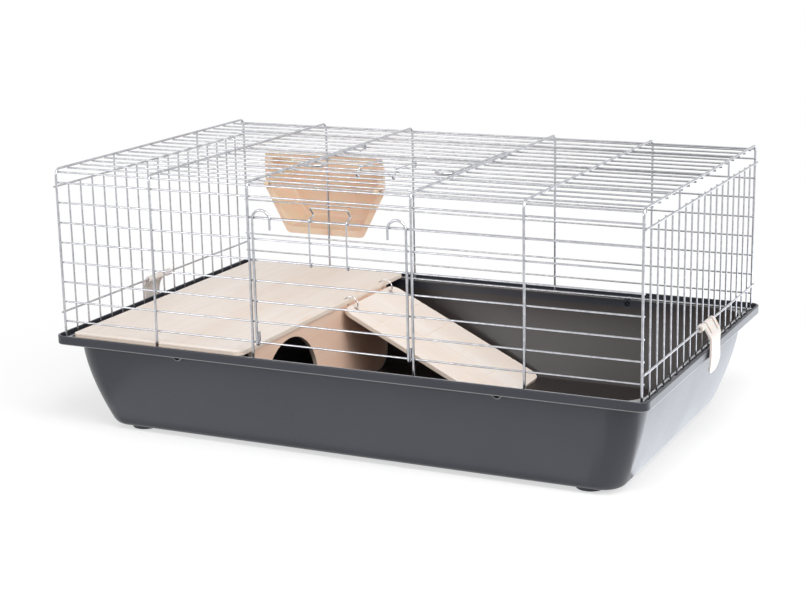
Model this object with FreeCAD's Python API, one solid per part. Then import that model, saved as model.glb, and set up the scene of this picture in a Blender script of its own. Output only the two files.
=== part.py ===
import FreeCAD, Part
import math
import os

V = FreeCAD.Vector
os.makedirs("parts", exist_ok=True)

# Wire lattice in mm: X along the length, Y to the back, Z up from the feet
pitch = 25.0
levels = 8
top_gap = 17.0
bottom_gap = 16.0
side_bay = 135.0
door_bay = 210.0
cage_depth = 450.0
end_bay_count = 18
roof_bay_count = 17
tall_bar_count_a = 5
tall_bar_count_b = 13
end_rail_low = 27.5
end_rail_drop = 22.0
overrun = 1.5

# Wire radii, weld depth and bends
frame_r = 1.5
long_r = 1.1
bar_r = 1.1
rail_r = 1.25
base_r = 1.25
latch_r = 1.0
weld = 0.05
frame_bend = 8.0
foot_gap = 0.3
seat_gap = 0.1
wire_sides = 8
bend_steps = 3

# Plastic tray
foot_height = 5.0
tray_height = 122.0
wall = 2.5
rim_margin_x = 10.0
rim_margin_y = 13.0
rim_corner = 14.0
rim_edge = 3.0
rim_round = 1.0
lip_drop = 11.0
ledge_drop = 6.5
wall_top_inset = 14.0
flare_x = 32.0
flare_y = 28.0
flare_power = 1.55
flare_steps = 6
corner_top = 40.0
corner_bottom = 26.0
bottom_round = 10.0
bottom_steps = 3
corner_steps = 6
foot_radius = 17.0
foot_inset_x = 40.0
foot_inset_y = 24.0
boss_radius = 6.0
boss_length = 10.0
boss_bore = 3.2
bore_depth = 5.0
front_boss_x = 209.0
end_boss_y = 110.0

# Doors: the hinge wire and the closing wire belong to the lattice
door_rows = 6
roof_door_row = 5
cane_gap = 6.0
hinge_gap = 0.5
hook_tip = 12.0
curl_r = 11.5
curl_over = 10.0
curl_end = 13.0
bar_overhang = 2.5

# Door latch: a bent spring wire hooked round one bar of the door
latch_x = 24.0
latch_row_count = 4
latch_bend = 2.2
latch_hook = 1.2
nose_in = 9.5
nose_over = 5.8
arm_over = 2.9
press_over = 16.5
press_out = 0.5

# End clips
clip_gap = 0.08
clip_thick = 2.6
clip_half = 22.0
clip_top = 6.0
clip_lean = 30.0
curl_from = 230.0
curl_steps = 8
mouth_angle = 50.0
finger_drop = 4.0
clip_waist = 17.5
waist_drop = 24.0
clip_tail = 20.0
tail_drop = 20.0
clip_tuck = 3.0
tuck_length = 15.0
clip_bend = 14.0
clip_clear = 1.75
edge_round = 2.0
finger_round = 6.0
waist_round = 14.0
tail_round = 15.0
slit = 4.6
slit_length = 9.0
knob_length = 10.0
knob_sink = 0.5
knob_wall = 3.4
nose_reach = 1.6
nose_gap = 1.4
nose_slope = 0.5
nose_tip = 1.2
nose_root = 6.0
nose_half = 7.2

# Plywood shelf and house wall
ply = 6.0
shelf_left = 11.0
shelf_setback = 17.0
shelf_over = 1.0
shelf_corner_left = 6.0
shelf_corner_right = 12.0
notch_r = 2.6
tenon_length = 24.0
tenon_gap = 0.3
tenon_front_at = 139.0
tenon_back_at = 72.0
wall_setback = 2.0
house_flare = 2.5
house_back_gap = 21.5
house_corner_front = 12.0
house_corner_back = 26.0
house_corner_top = 3.0
arch_r = 72.0
arch_leg = 21.0
arch_top = 8.0

# Ramp and its two rings
ramp_length = 244.0
ramp_width = 150.0
ramp_wall_gap = 10.5
ramp_floor_gap = 0.3
ramp_start = 1.2
ramp_sink = 0.8
ramp_corner = 14.0
groove_pitch = 50.0
groove_width = 1.6
groove_depth = 0.9
ring_radius = 10.5
ring_steps = 24
ring_wire = 0.9
ring_inset = 23.0
ring_hole = 3.4
ring_drop = 0.8
ring_out = 2.0
ring_slot = 3.4
slot_gap = 1.5

# Hay rack outside the back wires, hung on one of them
rack_at = 127.0
rack_half_top = 95.0
rack_half_low = 61.0
rack_rise = 47.0
rack_cheek = 53.0
rack_taper = 64.0
rack_round = 8.0
rack_flange = 9.0
rack_wall = 2.2
rack_depth = 45.0
rack_shrink = 11.0
rack_gap = 0.7
hook_row_count = 4
hook_inset = 6.0
hook_width = 7.0
hook_reach = 10.5
hook_drop = 6.5
hook_gap = 0.3

# Places that follow from the sizes above
cage_length = 4 * side_bay + door_bay
end_pitch = cage_depth / end_bay_count
half_x = cage_length / 2
half_y = cage_depth / 2
rim_x = half_x + rim_margin_x
rim_y = half_y + rim_margin_y
rim_z = foot_height + tray_height
ledge_z = rim_z - ledge_drop
floor_z = foot_height + wall
roof_z = rim_z + bottom_gap + pitch * (levels - 1) + top_gap
wall_x = rim_x - wall_top_inset
wall_y = rim_y - wall_top_inset
floor_y = wall_y - flare_y - wall
long_inset = frame_r + long_r - weld
long_y = half_y - long_inset
roof_long_z = roof_z - long_inset
roof_pitch = cage_depth / roof_bay_count
base_z = ledge_z + base_r + seat_gap
rail_x = half_x + frame_r + rail_r - weld
bar_x = rail_x - rail_r - bar_r + weld
cane_x = door_bay / 2 - cane_gap
cane_out = long_r + frame_r + hinge_gap
door_bar_out = cane_out - frame_r - long_r + weld
latch_out = door_bar_out + long_r + latch_r + hinge_gap
lip_x = rim_x - rail_x
clip_out = lip_x + clip_clear + clip_thick / 2
clip_drop = end_rail_low + lip_drop + tail_drop
curl_mid = rail_r + clip_gap + clip_thick / 2
shelf_z = base_z + base_r + seat_gap
shelf_x = -half_x + shelf_left
shelf_edge = -door_bay / 2 - shelf_setback
house_x = shelf_edge - wall_setback - ply
house_front = -floor_y - house_flare
house_back = floor_y - house_back_gap
tenons = (house_front + tenon_front_at, house_back - tenon_back_at)
hinge_x = shelf_edge + ring_out
hinge_z = shelf_z - ring_drop
ramp_y = floor_y - ramp_wall_gap - ramp_width / 2
ring_span = ramp_width / 2 - ring_inset
rack_x = -half_x + rack_at
rack_front = half_y + frame_r + rack_gap
rack_back = rack_front + rack_depth
centre_y = (rim_y - rack_back) / 2


def save(name, solids):
    """Move the solids so that the part's box is centred in Y, and write one STEP file."""
    shape = solids[0] if len(solids) == 1 else Part.makeCompound(solids)
    shape.translate(V(0, centre_y, 0))
    shape.exportStep("parts/" + name + ".step")


def section(at, run, radius):
    """Corners of a wire's section across its run, with flats towards the main axes."""
    way = V(run).normalize()
    across = min((V(1, 0, 0), V(0, 1, 0), V(0, 0, 1)), key=lambda axis: abs(axis.dot(way)))
    other = way.cross(across)
    half = math.pi / wire_sides
    reach = radius / math.cos(half)
    ring = []
    for k in range(wire_sides):
        turn = half + 2 * half * k
        ring.append(at + across * (reach * math.cos(turn)) + other * (reach * math.sin(turn)))
    return ring


def flat(corners):
    """A flat face through the corners."""
    return Part.Face(Part.makePolygon(corners + corners[:1]))


def sides(low, high):
    """The flat faces between two rings with as many corners, side by side."""
    faces = []
    for k in range(len(low)):
        faces.append(flat([low[k - 1], low[k], high[k], high[k - 1]]))
    return faces


def solid_of(faces):
    """A closed solid from its flat faces."""
    solid = Part.makeSolid(Part.makeShell(faces))
    if solid.Volume < 0:
        solid.reverse()
    return solid


def stack(rings):
    """A closed solid through flat rings, one above the other."""
    faces = [flat(rings[0]), flat(rings[-1])]
    for low, high in zip(rings, rings[1:]):
        faces += sides(low, high)
    return solid_of(faces)


def rod(start, end, radius):
    """A straight wire."""
    return flat(section(start, end - start, radius)).extrude(end - start)


def bend_at(before, corner, after, radius):
    """Start, middle and end of the arc that rounds one corner."""
    back = (before - corner).normalize()
    ahead = (after - corner).normalize()
    half = back.getAngle(ahead) / 2
    cut = radius / math.tan(half)
    middle = corner + (back + ahead).normalize() * (radius / math.sin(half) - radius)
    return corner + back * cut, middle, corner + ahead * cut


def chords(points, bends):
    """Points of a polyline whose bends are turned in short straight steps."""
    line = [points[0]]
    for k, bend in enumerate(bends):
        first, middle, last = bend_at(points[k], points[k + 1], points[k + 2], bend)
        arc = Part.Arc(first, middle, last).toShape().discretize(bend_steps + 1)
        line += arc[1:] if line[-1].isEqual(first, 1e-6) else arc
    if not line[-1].isEqual(points[-1], 1e-6):
        line.append(points[-1])
    return line


def sweep(line, ring):
    """A bar whose section ring follows a polyline, mitred at every corner."""
    faces = [flat(ring)]
    for k in range(1, len(line)):
        run = (line[k] - line[k - 1]).normalize()
        mitre = V(run)
        if k + 1 < len(line):
            mitre = run + (line[k + 1] - line[k]).normalize()
        moved = [p + run * ((line[k] - p).dot(mitre) / run.dot(mitre)) for p in ring]
        faces += sides(ring, moved)
        ring = moved
    return solid_of(faces + [flat(ring)])


def bent(points, bends, radius):
    """A wire along a polyline with stepped bends."""
    line = chords(points, bends)
    return sweep(line, section(line[0], line[1] - line[0], radius))


def rounded(corners, radii):
    """A closed flat outline through the corners, each with its own radius."""
    count = len(corners)
    arcs = []
    for k in range(count):
        arcs.append(bend_at(corners[k - 1], corners[k], corners[(k + 1) % count], radii[k]))
    edges = []
    for k in range(count):
        edges.append(Part.Arc(*arcs[k]).toShape())
        edges.append(Part.makeLine(arcs[k][2], arcs[(k + 1) % count][0]))
    return Part.Wire(edges)


def rectangle(reach_x, reach_y, radius, z):
    """Corners of a rounded rectangle lying flat at height z, its rounds turned in steps."""
    ring = []
    for quarter, (sx, sy) in enumerate(((1, 1), (-1, 1), (-1, -1), (1, -1))):
        for k in range(corner_steps + 1):
            turn = math.pi / 2 * (quarter + k / corner_steps)
            x = sx * (reach_x - radius) + radius * math.cos(turn)
            ring.append(V(x, sy * (reach_y - radius) + radius * math.sin(turn), z))
    return ring


def slab(outline, run):
    """The outline's flat face pushed along a vector."""
    return Part.Face(outline).extrude(run)


def tub(inset):
    """The bowed tub as a solid drawn in by an inset, with a rounded bottom edge."""
    low = floor_z if inset else foot_height
    rings = []
    for k in range(flare_steps):
        share = k / flare_steps
        bow = share ** flare_power
        radius = corner_top + (corner_bottom - corner_top) * share - inset
        z = ledge_z - share * (ledge_z - low)
        rings.append(rectangle(wall_x - flare_x * bow - inset, wall_y - flare_y * bow - inset, radius, z))
    lean = math.atan2(flare_x * (1 - bow), z - low)
    turn_r = bottom_round - inset
    for k in range(bottom_steps + 1):
        turn = lean + (math.pi / 2 - lean) * k / bottom_steps
        draw = inset + turn_r / math.tan(math.pi / 4 + lean / 2) - turn_r * math.cos(turn)
        z = low + turn_r * (1 - math.sin(turn))
        rings.append(rectangle(wall_x - flare_x - draw, wall_y - flare_y - draw, corner_bottom - draw, z))
    return stack(rings)


def boss(at, outward):
    """A moulded boss, hollow in its outer end."""
    end = at + outward * boss_length
    return rod(at, end, boss_radius).cut(rod(end - outward * bore_depth, end, boss_bore))


def tray():
    """The plastic tray: tub, wire ledge, raised rim with a lip, bosses and feet."""
    under = rim_z - lip_drop
    inner = (rim_x - rim_edge, rim_y - rim_edge, rim_corner - rim_edge)
    lip = stack([rectangle(rim_x, rim_y, rim_corner, z) for z in (under, rim_z - rim_round)]
                + [rectangle(rim_x - rim_round, rim_y - rim_round, rim_corner - rim_round, rim_z)])
    lip = lip.cut(stack([rectangle(*inner, z) for z in (under, ledge_z - wall)]))
    body = tub(0).fuse(lip)
    for side in (-1, 1):
        for x in (-front_boss_x, front_boss_x):
            body = body.fuse(boss(V(x, side * (wall_y - wall), under), V(0, side, 0)))
        for y in (-end_boss_y, end_boss_y):
            body = body.fuse(boss(V(side * (wall_x - wall), y, under), V(side, 0, 0)))
        for end in (-1, 1):
            foot_x = end * (wall_x - flare_x - foot_inset_x)
            at = V(foot_x, side * (wall_y - flare_y - foot_inset_y), 0)
            body = body.fuse(Part.makeCylinder(foot_radius, floor_z, at))
    channel = stack([rectangle(*inner, z) for z in (ledge_z, rim_z + wall)])
    return [body.cut(tub(wall)).cut(channel).removeSplitter()]


def cross_frame(x):
    """One bent wire: front upright, roof bar and back upright."""
    low = ledge_z + foot_gap
    points = [V(x, -half_y, low), V(x, -half_y, roof_z), V(x, half_y, roof_z), V(x, half_y, low)]
    return [bent(points, [frame_bend, frame_bend], frame_r)]


def level_z(row):
    """Height of a long wire, row 1 at the top."""
    return roof_z - top_gap - pitch * (row - 1)


def roof_y(row):
    """Depth position of a long roof wire, row 0 at the front."""
    return -half_y + roof_pitch * row


def along(y, z, left, right, radius):
    """A straight wire along the length."""
    return rod(V(left, y, z), V(right, y, z), radius)


def upright_rows(y, rows, left, right):
    """Long wires of an upright side."""
    return [along(y, level_z(row), left, right, long_r) for row in rows]


def roof_rows(rows, left, right):
    """Long wires of the roof; the first and last lie inside the frame bends."""
    wires = []
    chord = frame_bend * math.cos(math.pi / 4 / bend_steps)
    nest = (chord - long_inset) * math.sqrt(0.5)
    for row in rows:
        y = roof_y(row)
        z = roof_long_z
        if row in (0, roof_bay_count):
            side = -1 if row == 0 else 1
            y = side * (half_y - frame_bend + nest)
            z = roof_z - frame_bend + nest
        wires.append(along(y, z, left, right, long_r))
    return wires


def end_bars(side):
    """Upright bars of one end; two of them reach the roof bar."""
    bars = []
    for k in range(1, end_bay_count):
        y = -half_y + k * end_pitch
        top = roof_z - end_rail_drop + rail_r
        if k in (tall_bar_count_a, tall_bar_count_b):
            top = roof_z - frame_r + weld
        bars.append(rod(V(side * bar_x, y, ledge_z + foot_gap), V(side * bar_x, y, top), bar_r))
    return bars


def end_rails(side):
    """The two round cross rails outside the bars of one end; a clip turns on the lower one."""
    reach = half_y + frame_r
    rails = []
    for z in (rim_z + end_rail_low, roof_z - end_rail_drop):
        rails.append(Part.makeCylinder(rail_r, 2 * reach, V(side * rail_x, -reach, z), V(0, 1, 0)))
    return rails


def base_wires():
    """Wires lying on the tray ledge that tie the wire top at its foot."""
    y = half_y - frame_r - base_r + weld
    x = bar_x - bar_r - base_r + weld
    reach = half_x + overrun
    short = y - base_r - foot_gap
    wires = [along(side * y, base_z, -reach, reach, base_r) for side in (-1, 1)]
    for side in (-1, 1):
        wires.append(rod(V(side * x, -short, base_z), V(side * x, short, base_z), base_r))
    return wires


def at_front(u, v, w):
    """Door coordinates of the front: v up from the hinge wire, w outwards."""
    return V(u, -long_y - w, level_z(levels) + v)


def at_roof(u, v, w):
    """Door coordinates of the roof: v to the front from the hinge wire, w up."""
    return V(u, roof_y(roof_door_row + door_rows) - v, roof_long_z + w)


def cane(place, side, length):
    """Side wire of a door: hook round the hinge wire, leg and curled top."""
    inner = cane_x - 2 * curl_r
    top = length + curl_over
    points = [place(side * cane_x, hook_tip, -cane_out), place(side * cane_x, -cane_out, -cane_out)]
    points += [place(side * cane_x, -cane_out, cane_out), place(side * cane_x, top, cane_out)]
    points += [place(side * inner, top, cane_out), place(side * inner, length - curl_end, cane_out)]
    return bent(points, [cane_out, cane_out, curl_r, curl_r], frame_r)


def door_bars(place, spacing):
    """The cross bars of a door, welded behind its side wires."""
    reach = cane_x + bar_overhang
    bars = []
    for row in range(1, door_rows):
        low = place(-reach, spacing * row, door_bar_out)
        bars.append(rod(low, place(reach, spacing * row, door_bar_out), long_r))
    return bars


def latch(place, spacing):
    """Spring latch: hooked on a door bar, nose over the closing wire, press bar."""
    pivot = latch_row_count * spacing
    close = door_rows * spacing
    turn = latch_out - door_bar_out
    side = []
    side.append((pivot + latch_hook, door_bar_out - turn))
    side.append((pivot - turn, door_bar_out - turn))
    side.append((pivot - turn, latch_out))
    side.append((close + arm_over, latch_out))
    side.append((close + nose_over, -nose_in))
    side.append((close + press_over, press_out))
    points = [place(-latch_x, v, w) for v, w in side]
    points += [place(latch_x, v, w) for v, w in reversed(side)]
    bends = [turn, turn, latch_bend, latch_bend, latch_bend]
    return [bent(points, bends + bends[::-1], latch_r)]


def clip_strip():
    """A flat strip: curl over the rail, leaning shoulder, body and tail tucked in below the lip."""
    def spoke(degrees):
        """Unit vector at an angle round the rail."""
        return V(math.cos(math.radians(degrees)), 0, math.sin(math.radians(degrees)))
    step = (curl_from - clip_lean) / curl_steps
    corner = curl_mid / math.cos(math.radians(step / 2))
    line = [spoke(curl_from) * curl_mid]
    line += [spoke(curl_from - step * (k + 0.5)) * corner for k in range(curl_steps)]
    leave = spoke(clip_lean) * curl_mid
    shoulder = leave.z - (clip_out - leave.x) / math.tan(math.radians(clip_lean))
    body = [leave, V(clip_out, 0, shoulder), V(clip_out, 0, tuck_length - clip_drop)]
    body += [V(clip_out - clip_tuck, 0, -clip_drop)]
    line += chords(body, [clip_bend, clip_bend])[1:]
    across = spoke(curl_from) * (clip_thick / 2)
    wide = V(0, clip_half, 0)
    start = line[0]
    ring = [start + across + wide, start + across - wide, start - across - wide, start - across + wide]
    return sweep(line, ring)


def clip_front():
    """The clip seen from outside: wide fingers, a waist and a round tail."""
    right = [V(0, clip_half, clip_top), V(0, clip_half, -finger_drop)]
    right += [V(0, clip_waist, -waist_drop), V(0, clip_tail, -clip_drop - clip_thick)]
    left = [V(0, -p.y, p.z) for p in reversed(right)]
    radii = [edge_round, finger_round, waist_round, tail_round]
    return rounded(right + left, radii + radii[::-1])


def clip_nose():
    """The wedge inside the clip that catches under the tray's lip."""
    depth = end_rail_low + lip_drop
    tip = lip_x - nose_reach
    corners = [V(tip, -nose_half, -depth - nose_gap), V(clip_out, -nose_half, nose_slope - depth - nose_gap)]
    corners += [V(clip_out, -nose_half, -depth - nose_root)]
    corners += [V(tip, -nose_half, -depth - nose_gap - nose_tip)]
    return flat(corners).extrude(V(0, 2 * nose_half, 0))


def clip_knob():
    """A snap ring round the rail at one end of the clip, with an open mouth."""
    reach = rail_r + knob_wall
    at = V(0, knob_sink - clip_half - knob_length, 0)
    bore = rail_r + clip_gap
    run = V(0, knob_length, 0)
    ring = rod(at, at + run, reach).cut(rod(at, at + run, bore))
    mouth = Part.makeBox(2 * reach, knob_length, 2 * bore, at - V(0, 0, bore))
    mouth.rotate(V(0, 0, 0), V(0, 1, 0), mouth_angle)
    return ring.cut(mouth)


def clip(side):
    """One end clip, hung on the lower rail, three fingers between the bars."""
    front = slab(clip_front(), V(4 * clip_out, 0, 0))
    front.translate(V(-2 * clip_out, 0, 0))
    body = clip_strip().common(front).fuse([clip_nose(), clip_knob()])
    for half in (-1, 1):
        low = V(-clip_out, half * end_pitch / 2 - slit / 2, -slit_length)
        body = body.cut(Part.makeBox(2 * clip_out, slit, slit_length + clip_top, low))
    body = body.removeSplitter()
    if side < 0:
        body.rotate(V(0, 0, 0), V(0, 0, 1), 180)
    body.translate(V(side * rail_x, side * end_pitch / 2, rim_z + end_rail_low))
    return [body]


def platform():
    """Plywood shelf on the base wires, notched for one frame, bored for rings and slotted."""
    reach = half_y + shelf_over
    corners = [V(shelf_x, -reach, shelf_z), V(shelf_edge, -reach, shelf_z)]
    corners += [V(shelf_edge, reach, shelf_z), V(shelf_x, reach, shelf_z)]
    radii = [shelf_corner_left, shelf_corner_right, shelf_corner_right, shelf_corner_left]
    board = slab(rounded(corners, radii), V(0, 0, ply))
    rise = shelf_z + ply / 2 - hinge_z
    hole_x = hinge_x - math.sqrt(ring_radius ** 2 - rise ** 2)
    for side in (-1, 1):
        notch = V(side_bay - half_x, side * half_y, shelf_z)
        board = board.cut(Part.makeCylinder(notch_r, ply, notch))
        hole = V(hole_x, ramp_y + side * ring_span, shelf_z)
        board = board.cut(Part.makeCylinder(ring_hole, ply, hole))
    for y in tenons:
        at = V(house_x - tenon_gap, y - tenon_length / 2 - tenon_gap, shelf_z)
        slot = Part.makeBox(ply + 2 * tenon_gap, tenon_length + 2 * tenon_gap, ply, at)
        board = board.cut(slot)
    return [board]


def partition():
    """House wall under the shelf: rounded feet, arched doorway, two tenons, slots for the rings."""
    low = floor_z + seat_gap
    top = shelf_z - seat_gap
    corners = [V(house_x, house_front, low), V(house_x, house_back, low)]
    corners += [V(house_x, house_back, top), V(house_x, house_front, top)]
    radii = [house_corner_front, house_corner_back, house_corner_top, house_corner_top]
    board = slab(rounded(corners, radii), V(ply, 0, 0))
    for y in tenons:
        at = V(house_x, y - tenon_length / 2, top - ply)
        board = board.fuse(Part.makeBox(ply, tenon_length, 2 * ply + seat_gap, at))
    crown = top - arch_top - arch_r
    arch_y = house_front + arch_leg + arch_r
    arch = Part.makeCylinder(arch_r, ply, V(house_x, arch_y, crown), V(1, 0, 0))
    leg = Part.makeBox(ply, 2 * arch_r, crown, V(house_x, arch_y - arch_r, 0))
    board = board.cut(arch.fuse(leg))
    deep = top - hinge_z + ring_radius + ring_wire + slot_gap
    for side in (-1, 1):
        at = V(house_x, ramp_y + side * ring_span - ring_slot / 2, top - deep)
        board = board.cut(Part.makeBox(ply, ring_slot, deep, at))
    return [board.removeSplitter()]


def ramp_angle():
    """Slope in degrees that lets the ramp's low edge rest just above the tray floor."""
    reach = ramp_start + ramp_length
    thick = ramp_sink + ply
    fall = hinge_z - floor_z - ramp_floor_gap
    return math.degrees(math.asin(fall / math.hypot(reach, thick)) - math.atan2(thick, reach))


def ramp():
    """Ramp board with cross grooves, bored for the two rings."""
    half = ramp_width / 2
    top = -ramp_sink
    end = ramp_start + ramp_length
    corners = [V(ramp_start, -half, top), V(end, -half, top), V(end, half, top), V(ramp_start, half, top)]
    board = slab(rounded(corners, [ramp_corner] * 4), V(0, 0, -ply))
    for k in range(1, round(ramp_length / groove_pitch)):
        at = V(ramp_start + k * groove_pitch - groove_width / 2, -half, top - groove_depth)
        board = board.cut(Part.makeBox(groove_width, ramp_width, 2 * groove_depth, at))
    hole_x = math.sqrt(ring_radius ** 2 - (ramp_sink + ply / 2) ** 2)
    for side in (-1, 1):
        at = V(hole_x, side * ring_span, top - ply)
        board = board.cut(Part.makeCylinder(ring_hole, ply, at))
    board.rotate(V(0, 0, 0), V(0, 1, 0), ramp_angle())
    board.translate(V(hinge_x, ramp_y, hinge_z))
    return [board]


def ramp_ring(side):
    """Steel ring through the shelf and the ramp, centred on the ramp's turning line."""
    at = V(hinge_x, ramp_y + side * ring_span, hinge_z)
    wire = section(V(ring_radius, 0, 0), V(0, 0, 1), ring_wire)
    rings = []
    for k in range(ring_steps):
        turn = FreeCAD.Rotation(V(0, 1, 0), 360 * k / ring_steps)
        rings.append([at + turn.multVec(p) for p in wire])
    faces = []
    for k in range(ring_steps):
        faces += sides(rings[k - 1], rings[k])
    return solid_of(faces)


def rack_corners(inset, y):
    """Corners of the six-sided rack at a depth, drawn in by an inset."""
    top = level_z(hook_row_count) + rack_rise
    knee = top - rack_cheek
    low = knee - rack_taper + inset
    wide = rack_half_top - inset
    slant = (rack_half_top - rack_half_low) / rack_taper
    slim = rack_half_low - inset * (1 - slant)
    corners = [V(rack_x - slim, y, low), V(rack_x + slim, y, low), V(rack_x + wide, y, knee)]
    corners += [V(rack_x + wide, y, top - inset), V(rack_x - wide, y, top - inset)]
    return corners + [V(rack_x - wide, y, knee)]


def rack_bin(inset, back, radius):
    """The tapered bin as a solid, with its long edges rounded."""
    body = stack([rack_corners(inset, rack_front), rack_corners(inset + rack_shrink, back)])
    edges = [e for e in body.Edges if abs(e.Vertexes[0].Y - e.Vertexes[1].Y) > rack_wall]
    return body.makeFillet(radius, edges)


def hay_rack():
    """Bin with a front flange, open to the wires and at the top, with two hooks."""
    body = slab(rounded(rack_corners(0, rack_front), [rack_round] * 6), V(0, rack_wall, 0))
    body = body.fuse(rack_bin(rack_flange - rack_wall, rack_back, rack_round))
    body = body.cut(rack_bin(rack_flange, rack_back - rack_wall, rack_round - rack_wall))
    mouth = rack_half_top - rack_flange - rack_shrink - rack_wall
    deep = rack_flange + rack_shrink + 2 * rack_wall
    at = V(rack_x - mouth, rack_front + rack_wall, level_z(hook_row_count) + rack_rise - deep)
    body = body.cut(Part.makeBox(2 * mouth, rack_depth - 2 * rack_wall, deep, at))
    low = level_z(hook_row_count) + long_r + hook_gap
    tip_y = rack_front - hook_reach
    for side in (-1, 1):
        x = rack_x + side * (rack_half_top - hook_inset) - hook_width / 2
        arm = Part.makeBox(hook_width, hook_reach + rack_wall, rack_wall, V(x, tip_y, low))
        tip_z = low + rack_wall - hook_drop
        tip = Part.makeBox(hook_width, rack_wall, hook_drop, V(x, tip_y, tip_z))
        body = body.fuse([arm, tip])
    return [body.removeSplitter()]


save("tray", tray())
frame_xs = [-half_x, side_bay - half_x, -door_bay / 2, door_bay / 2, half_x - side_bay, half_x]
for number, frame_x in enumerate(frame_xs):
    save("cross_frame_" + str(number + 1), cross_frame(frame_x))

full = half_x + overrun
gate = door_bay / 2 - overrun
kept = (1, levels - door_rows, levels)
split = [row for row in range(1, levels) if row not in kept]
save("front_long_wires", upright_rows(-long_y, kept, -full, full))
save("front_left_wires", upright_rows(-long_y, split, -full, -gate))
save("front_right_wires", upright_rows(-long_y, split, gate, full))
save("back_wires", upright_rows(long_y, range(1, levels + 1), -full, full))
door_cut = range(roof_door_row + 1, roof_door_row + door_rows)
save("roof_long_wires", roof_rows([k for k in range(roof_bay_count + 1) if k not in door_cut], -full, full))
save("roof_left_wires", roof_rows(door_cut, -full, -gate))
save("roof_right_wires", roof_rows(door_cut, gate, full))
save("base_wires", base_wires())
for side, word in ((-1, "left"), (1, "right")):
    save(word + "_end_bars", end_bars(side))
    save(word + "_end_rails", end_rails(side))
    save(word + "_clip", clip(side))
for word, place, spacing in (("front", at_front, pitch), ("roof", at_roof, roof_pitch)):
    for side, hand in ((-1, "left"), (1, "right")):
        save(word + "_door_" + hand + "_side", [cane(place, side, door_rows * spacing)])
    save(word + "_door_bars", door_bars(place, spacing))
    save(word + "_latch", latch(place, spacing))
save("platform", platform())
save("partition", partition())
save("ramp", ramp())
save("ramp_rings", [ramp_ring(side) for side in (-1, 1)])
save("hay_rack", hay_rack())
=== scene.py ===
import logging
import math
from dataclasses import dataclass, field
from enum import Enum
from typing import Iterable, Sequence

import bmesh
import bpy
from mathutils import Matrix, Vector
from mathutils.geometry import delaunay_2d_cdt


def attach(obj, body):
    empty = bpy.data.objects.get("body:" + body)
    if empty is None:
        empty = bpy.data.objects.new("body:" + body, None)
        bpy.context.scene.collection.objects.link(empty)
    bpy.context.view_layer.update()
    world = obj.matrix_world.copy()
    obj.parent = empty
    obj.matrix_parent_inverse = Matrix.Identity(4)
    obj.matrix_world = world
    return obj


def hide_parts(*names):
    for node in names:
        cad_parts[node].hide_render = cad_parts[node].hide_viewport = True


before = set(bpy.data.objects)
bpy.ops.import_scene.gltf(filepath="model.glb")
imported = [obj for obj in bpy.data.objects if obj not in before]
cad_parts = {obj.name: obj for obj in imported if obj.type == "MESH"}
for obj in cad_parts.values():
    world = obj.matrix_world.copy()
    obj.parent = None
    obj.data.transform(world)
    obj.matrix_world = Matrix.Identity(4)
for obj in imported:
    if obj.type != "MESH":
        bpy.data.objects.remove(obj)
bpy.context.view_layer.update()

LOG = logging.getLogger("cage")
Colour = tuple[float, float, float, float]
Triple = tuple[float, float, float]
Point = tuple[float, float]

# Sizes are in millimetres. The frame is in metres, with its origin below the middle of the box,
# so the cage comes forward by half of what the hay rack stands out behind the tray.
MM = 0.001
SHIFT_Y = -17.1

# Edges sharper than this keep their crease.
SHARP = math.radians(32.0)

# Points nearer than these are one, in a mesh and in an outline.
MERGE = 1e-7
SAME_POINT = 1e-5

# A turned shape starts this far from its axis.
AXIS_GAP = 1e-4

# The filling of an outline keeps what lies inside.
FILL_INSIDE = 2

# Most values of a noise texture lie in this span.
NOISE_SPAN = (0.3, 0.7)

# Points of a finished mesh are found again by their rounded place in metres.
KEY_DIGITS = 5

WHITE: Colour = (1.0, 1.0, 1.0, 1.0)

# A flat plate stood up: its outline then lies in depth and height, or in length and height.
ACROSS = Matrix(((0, 0, 1, 0), (1, 0, 0, 0), (0, 1, 0, 0), (0, 0, 0, 1)))
ALONG = Matrix(((1, 0, 0, 0), (0, 0, -1, 0), (0, 1, 0, 0), (0, 0, 0, 1)))


class Body(Enum):
    """The bodies of the frame that pieces ride on."""

    CAGE = "cage"
    FRONT_DOOR = "front_door"
    FRONT_LATCH = "front_latch"
    ROOF_DOOR = "roof_door"
    ROOF_LATCH = "roof_latch"
    RIGHT_CLIP = "right_clip"
    LEFT_CLIP = "left_clip"
    RAMP = "ramp"
    HAY_RACK = "hay_rack"


class Slot(Enum):
    """The record's material slots."""

    TRAY = "tray_plastic"
    WIRE = "zinc_wire"
    PLY = "birch_ply"
    CLIP = "clip_plastic"
    RACK = "rack_plastic"
    RING = "ring_steel"


class Side(Enum):
    """The two ends of the cage along its length."""

    LEFT = -1
    RIGHT = 1


class DoorFace(Enum):
    """The two places that have a door."""

    FRONT = "front"
    ROOF = "roof"


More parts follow.
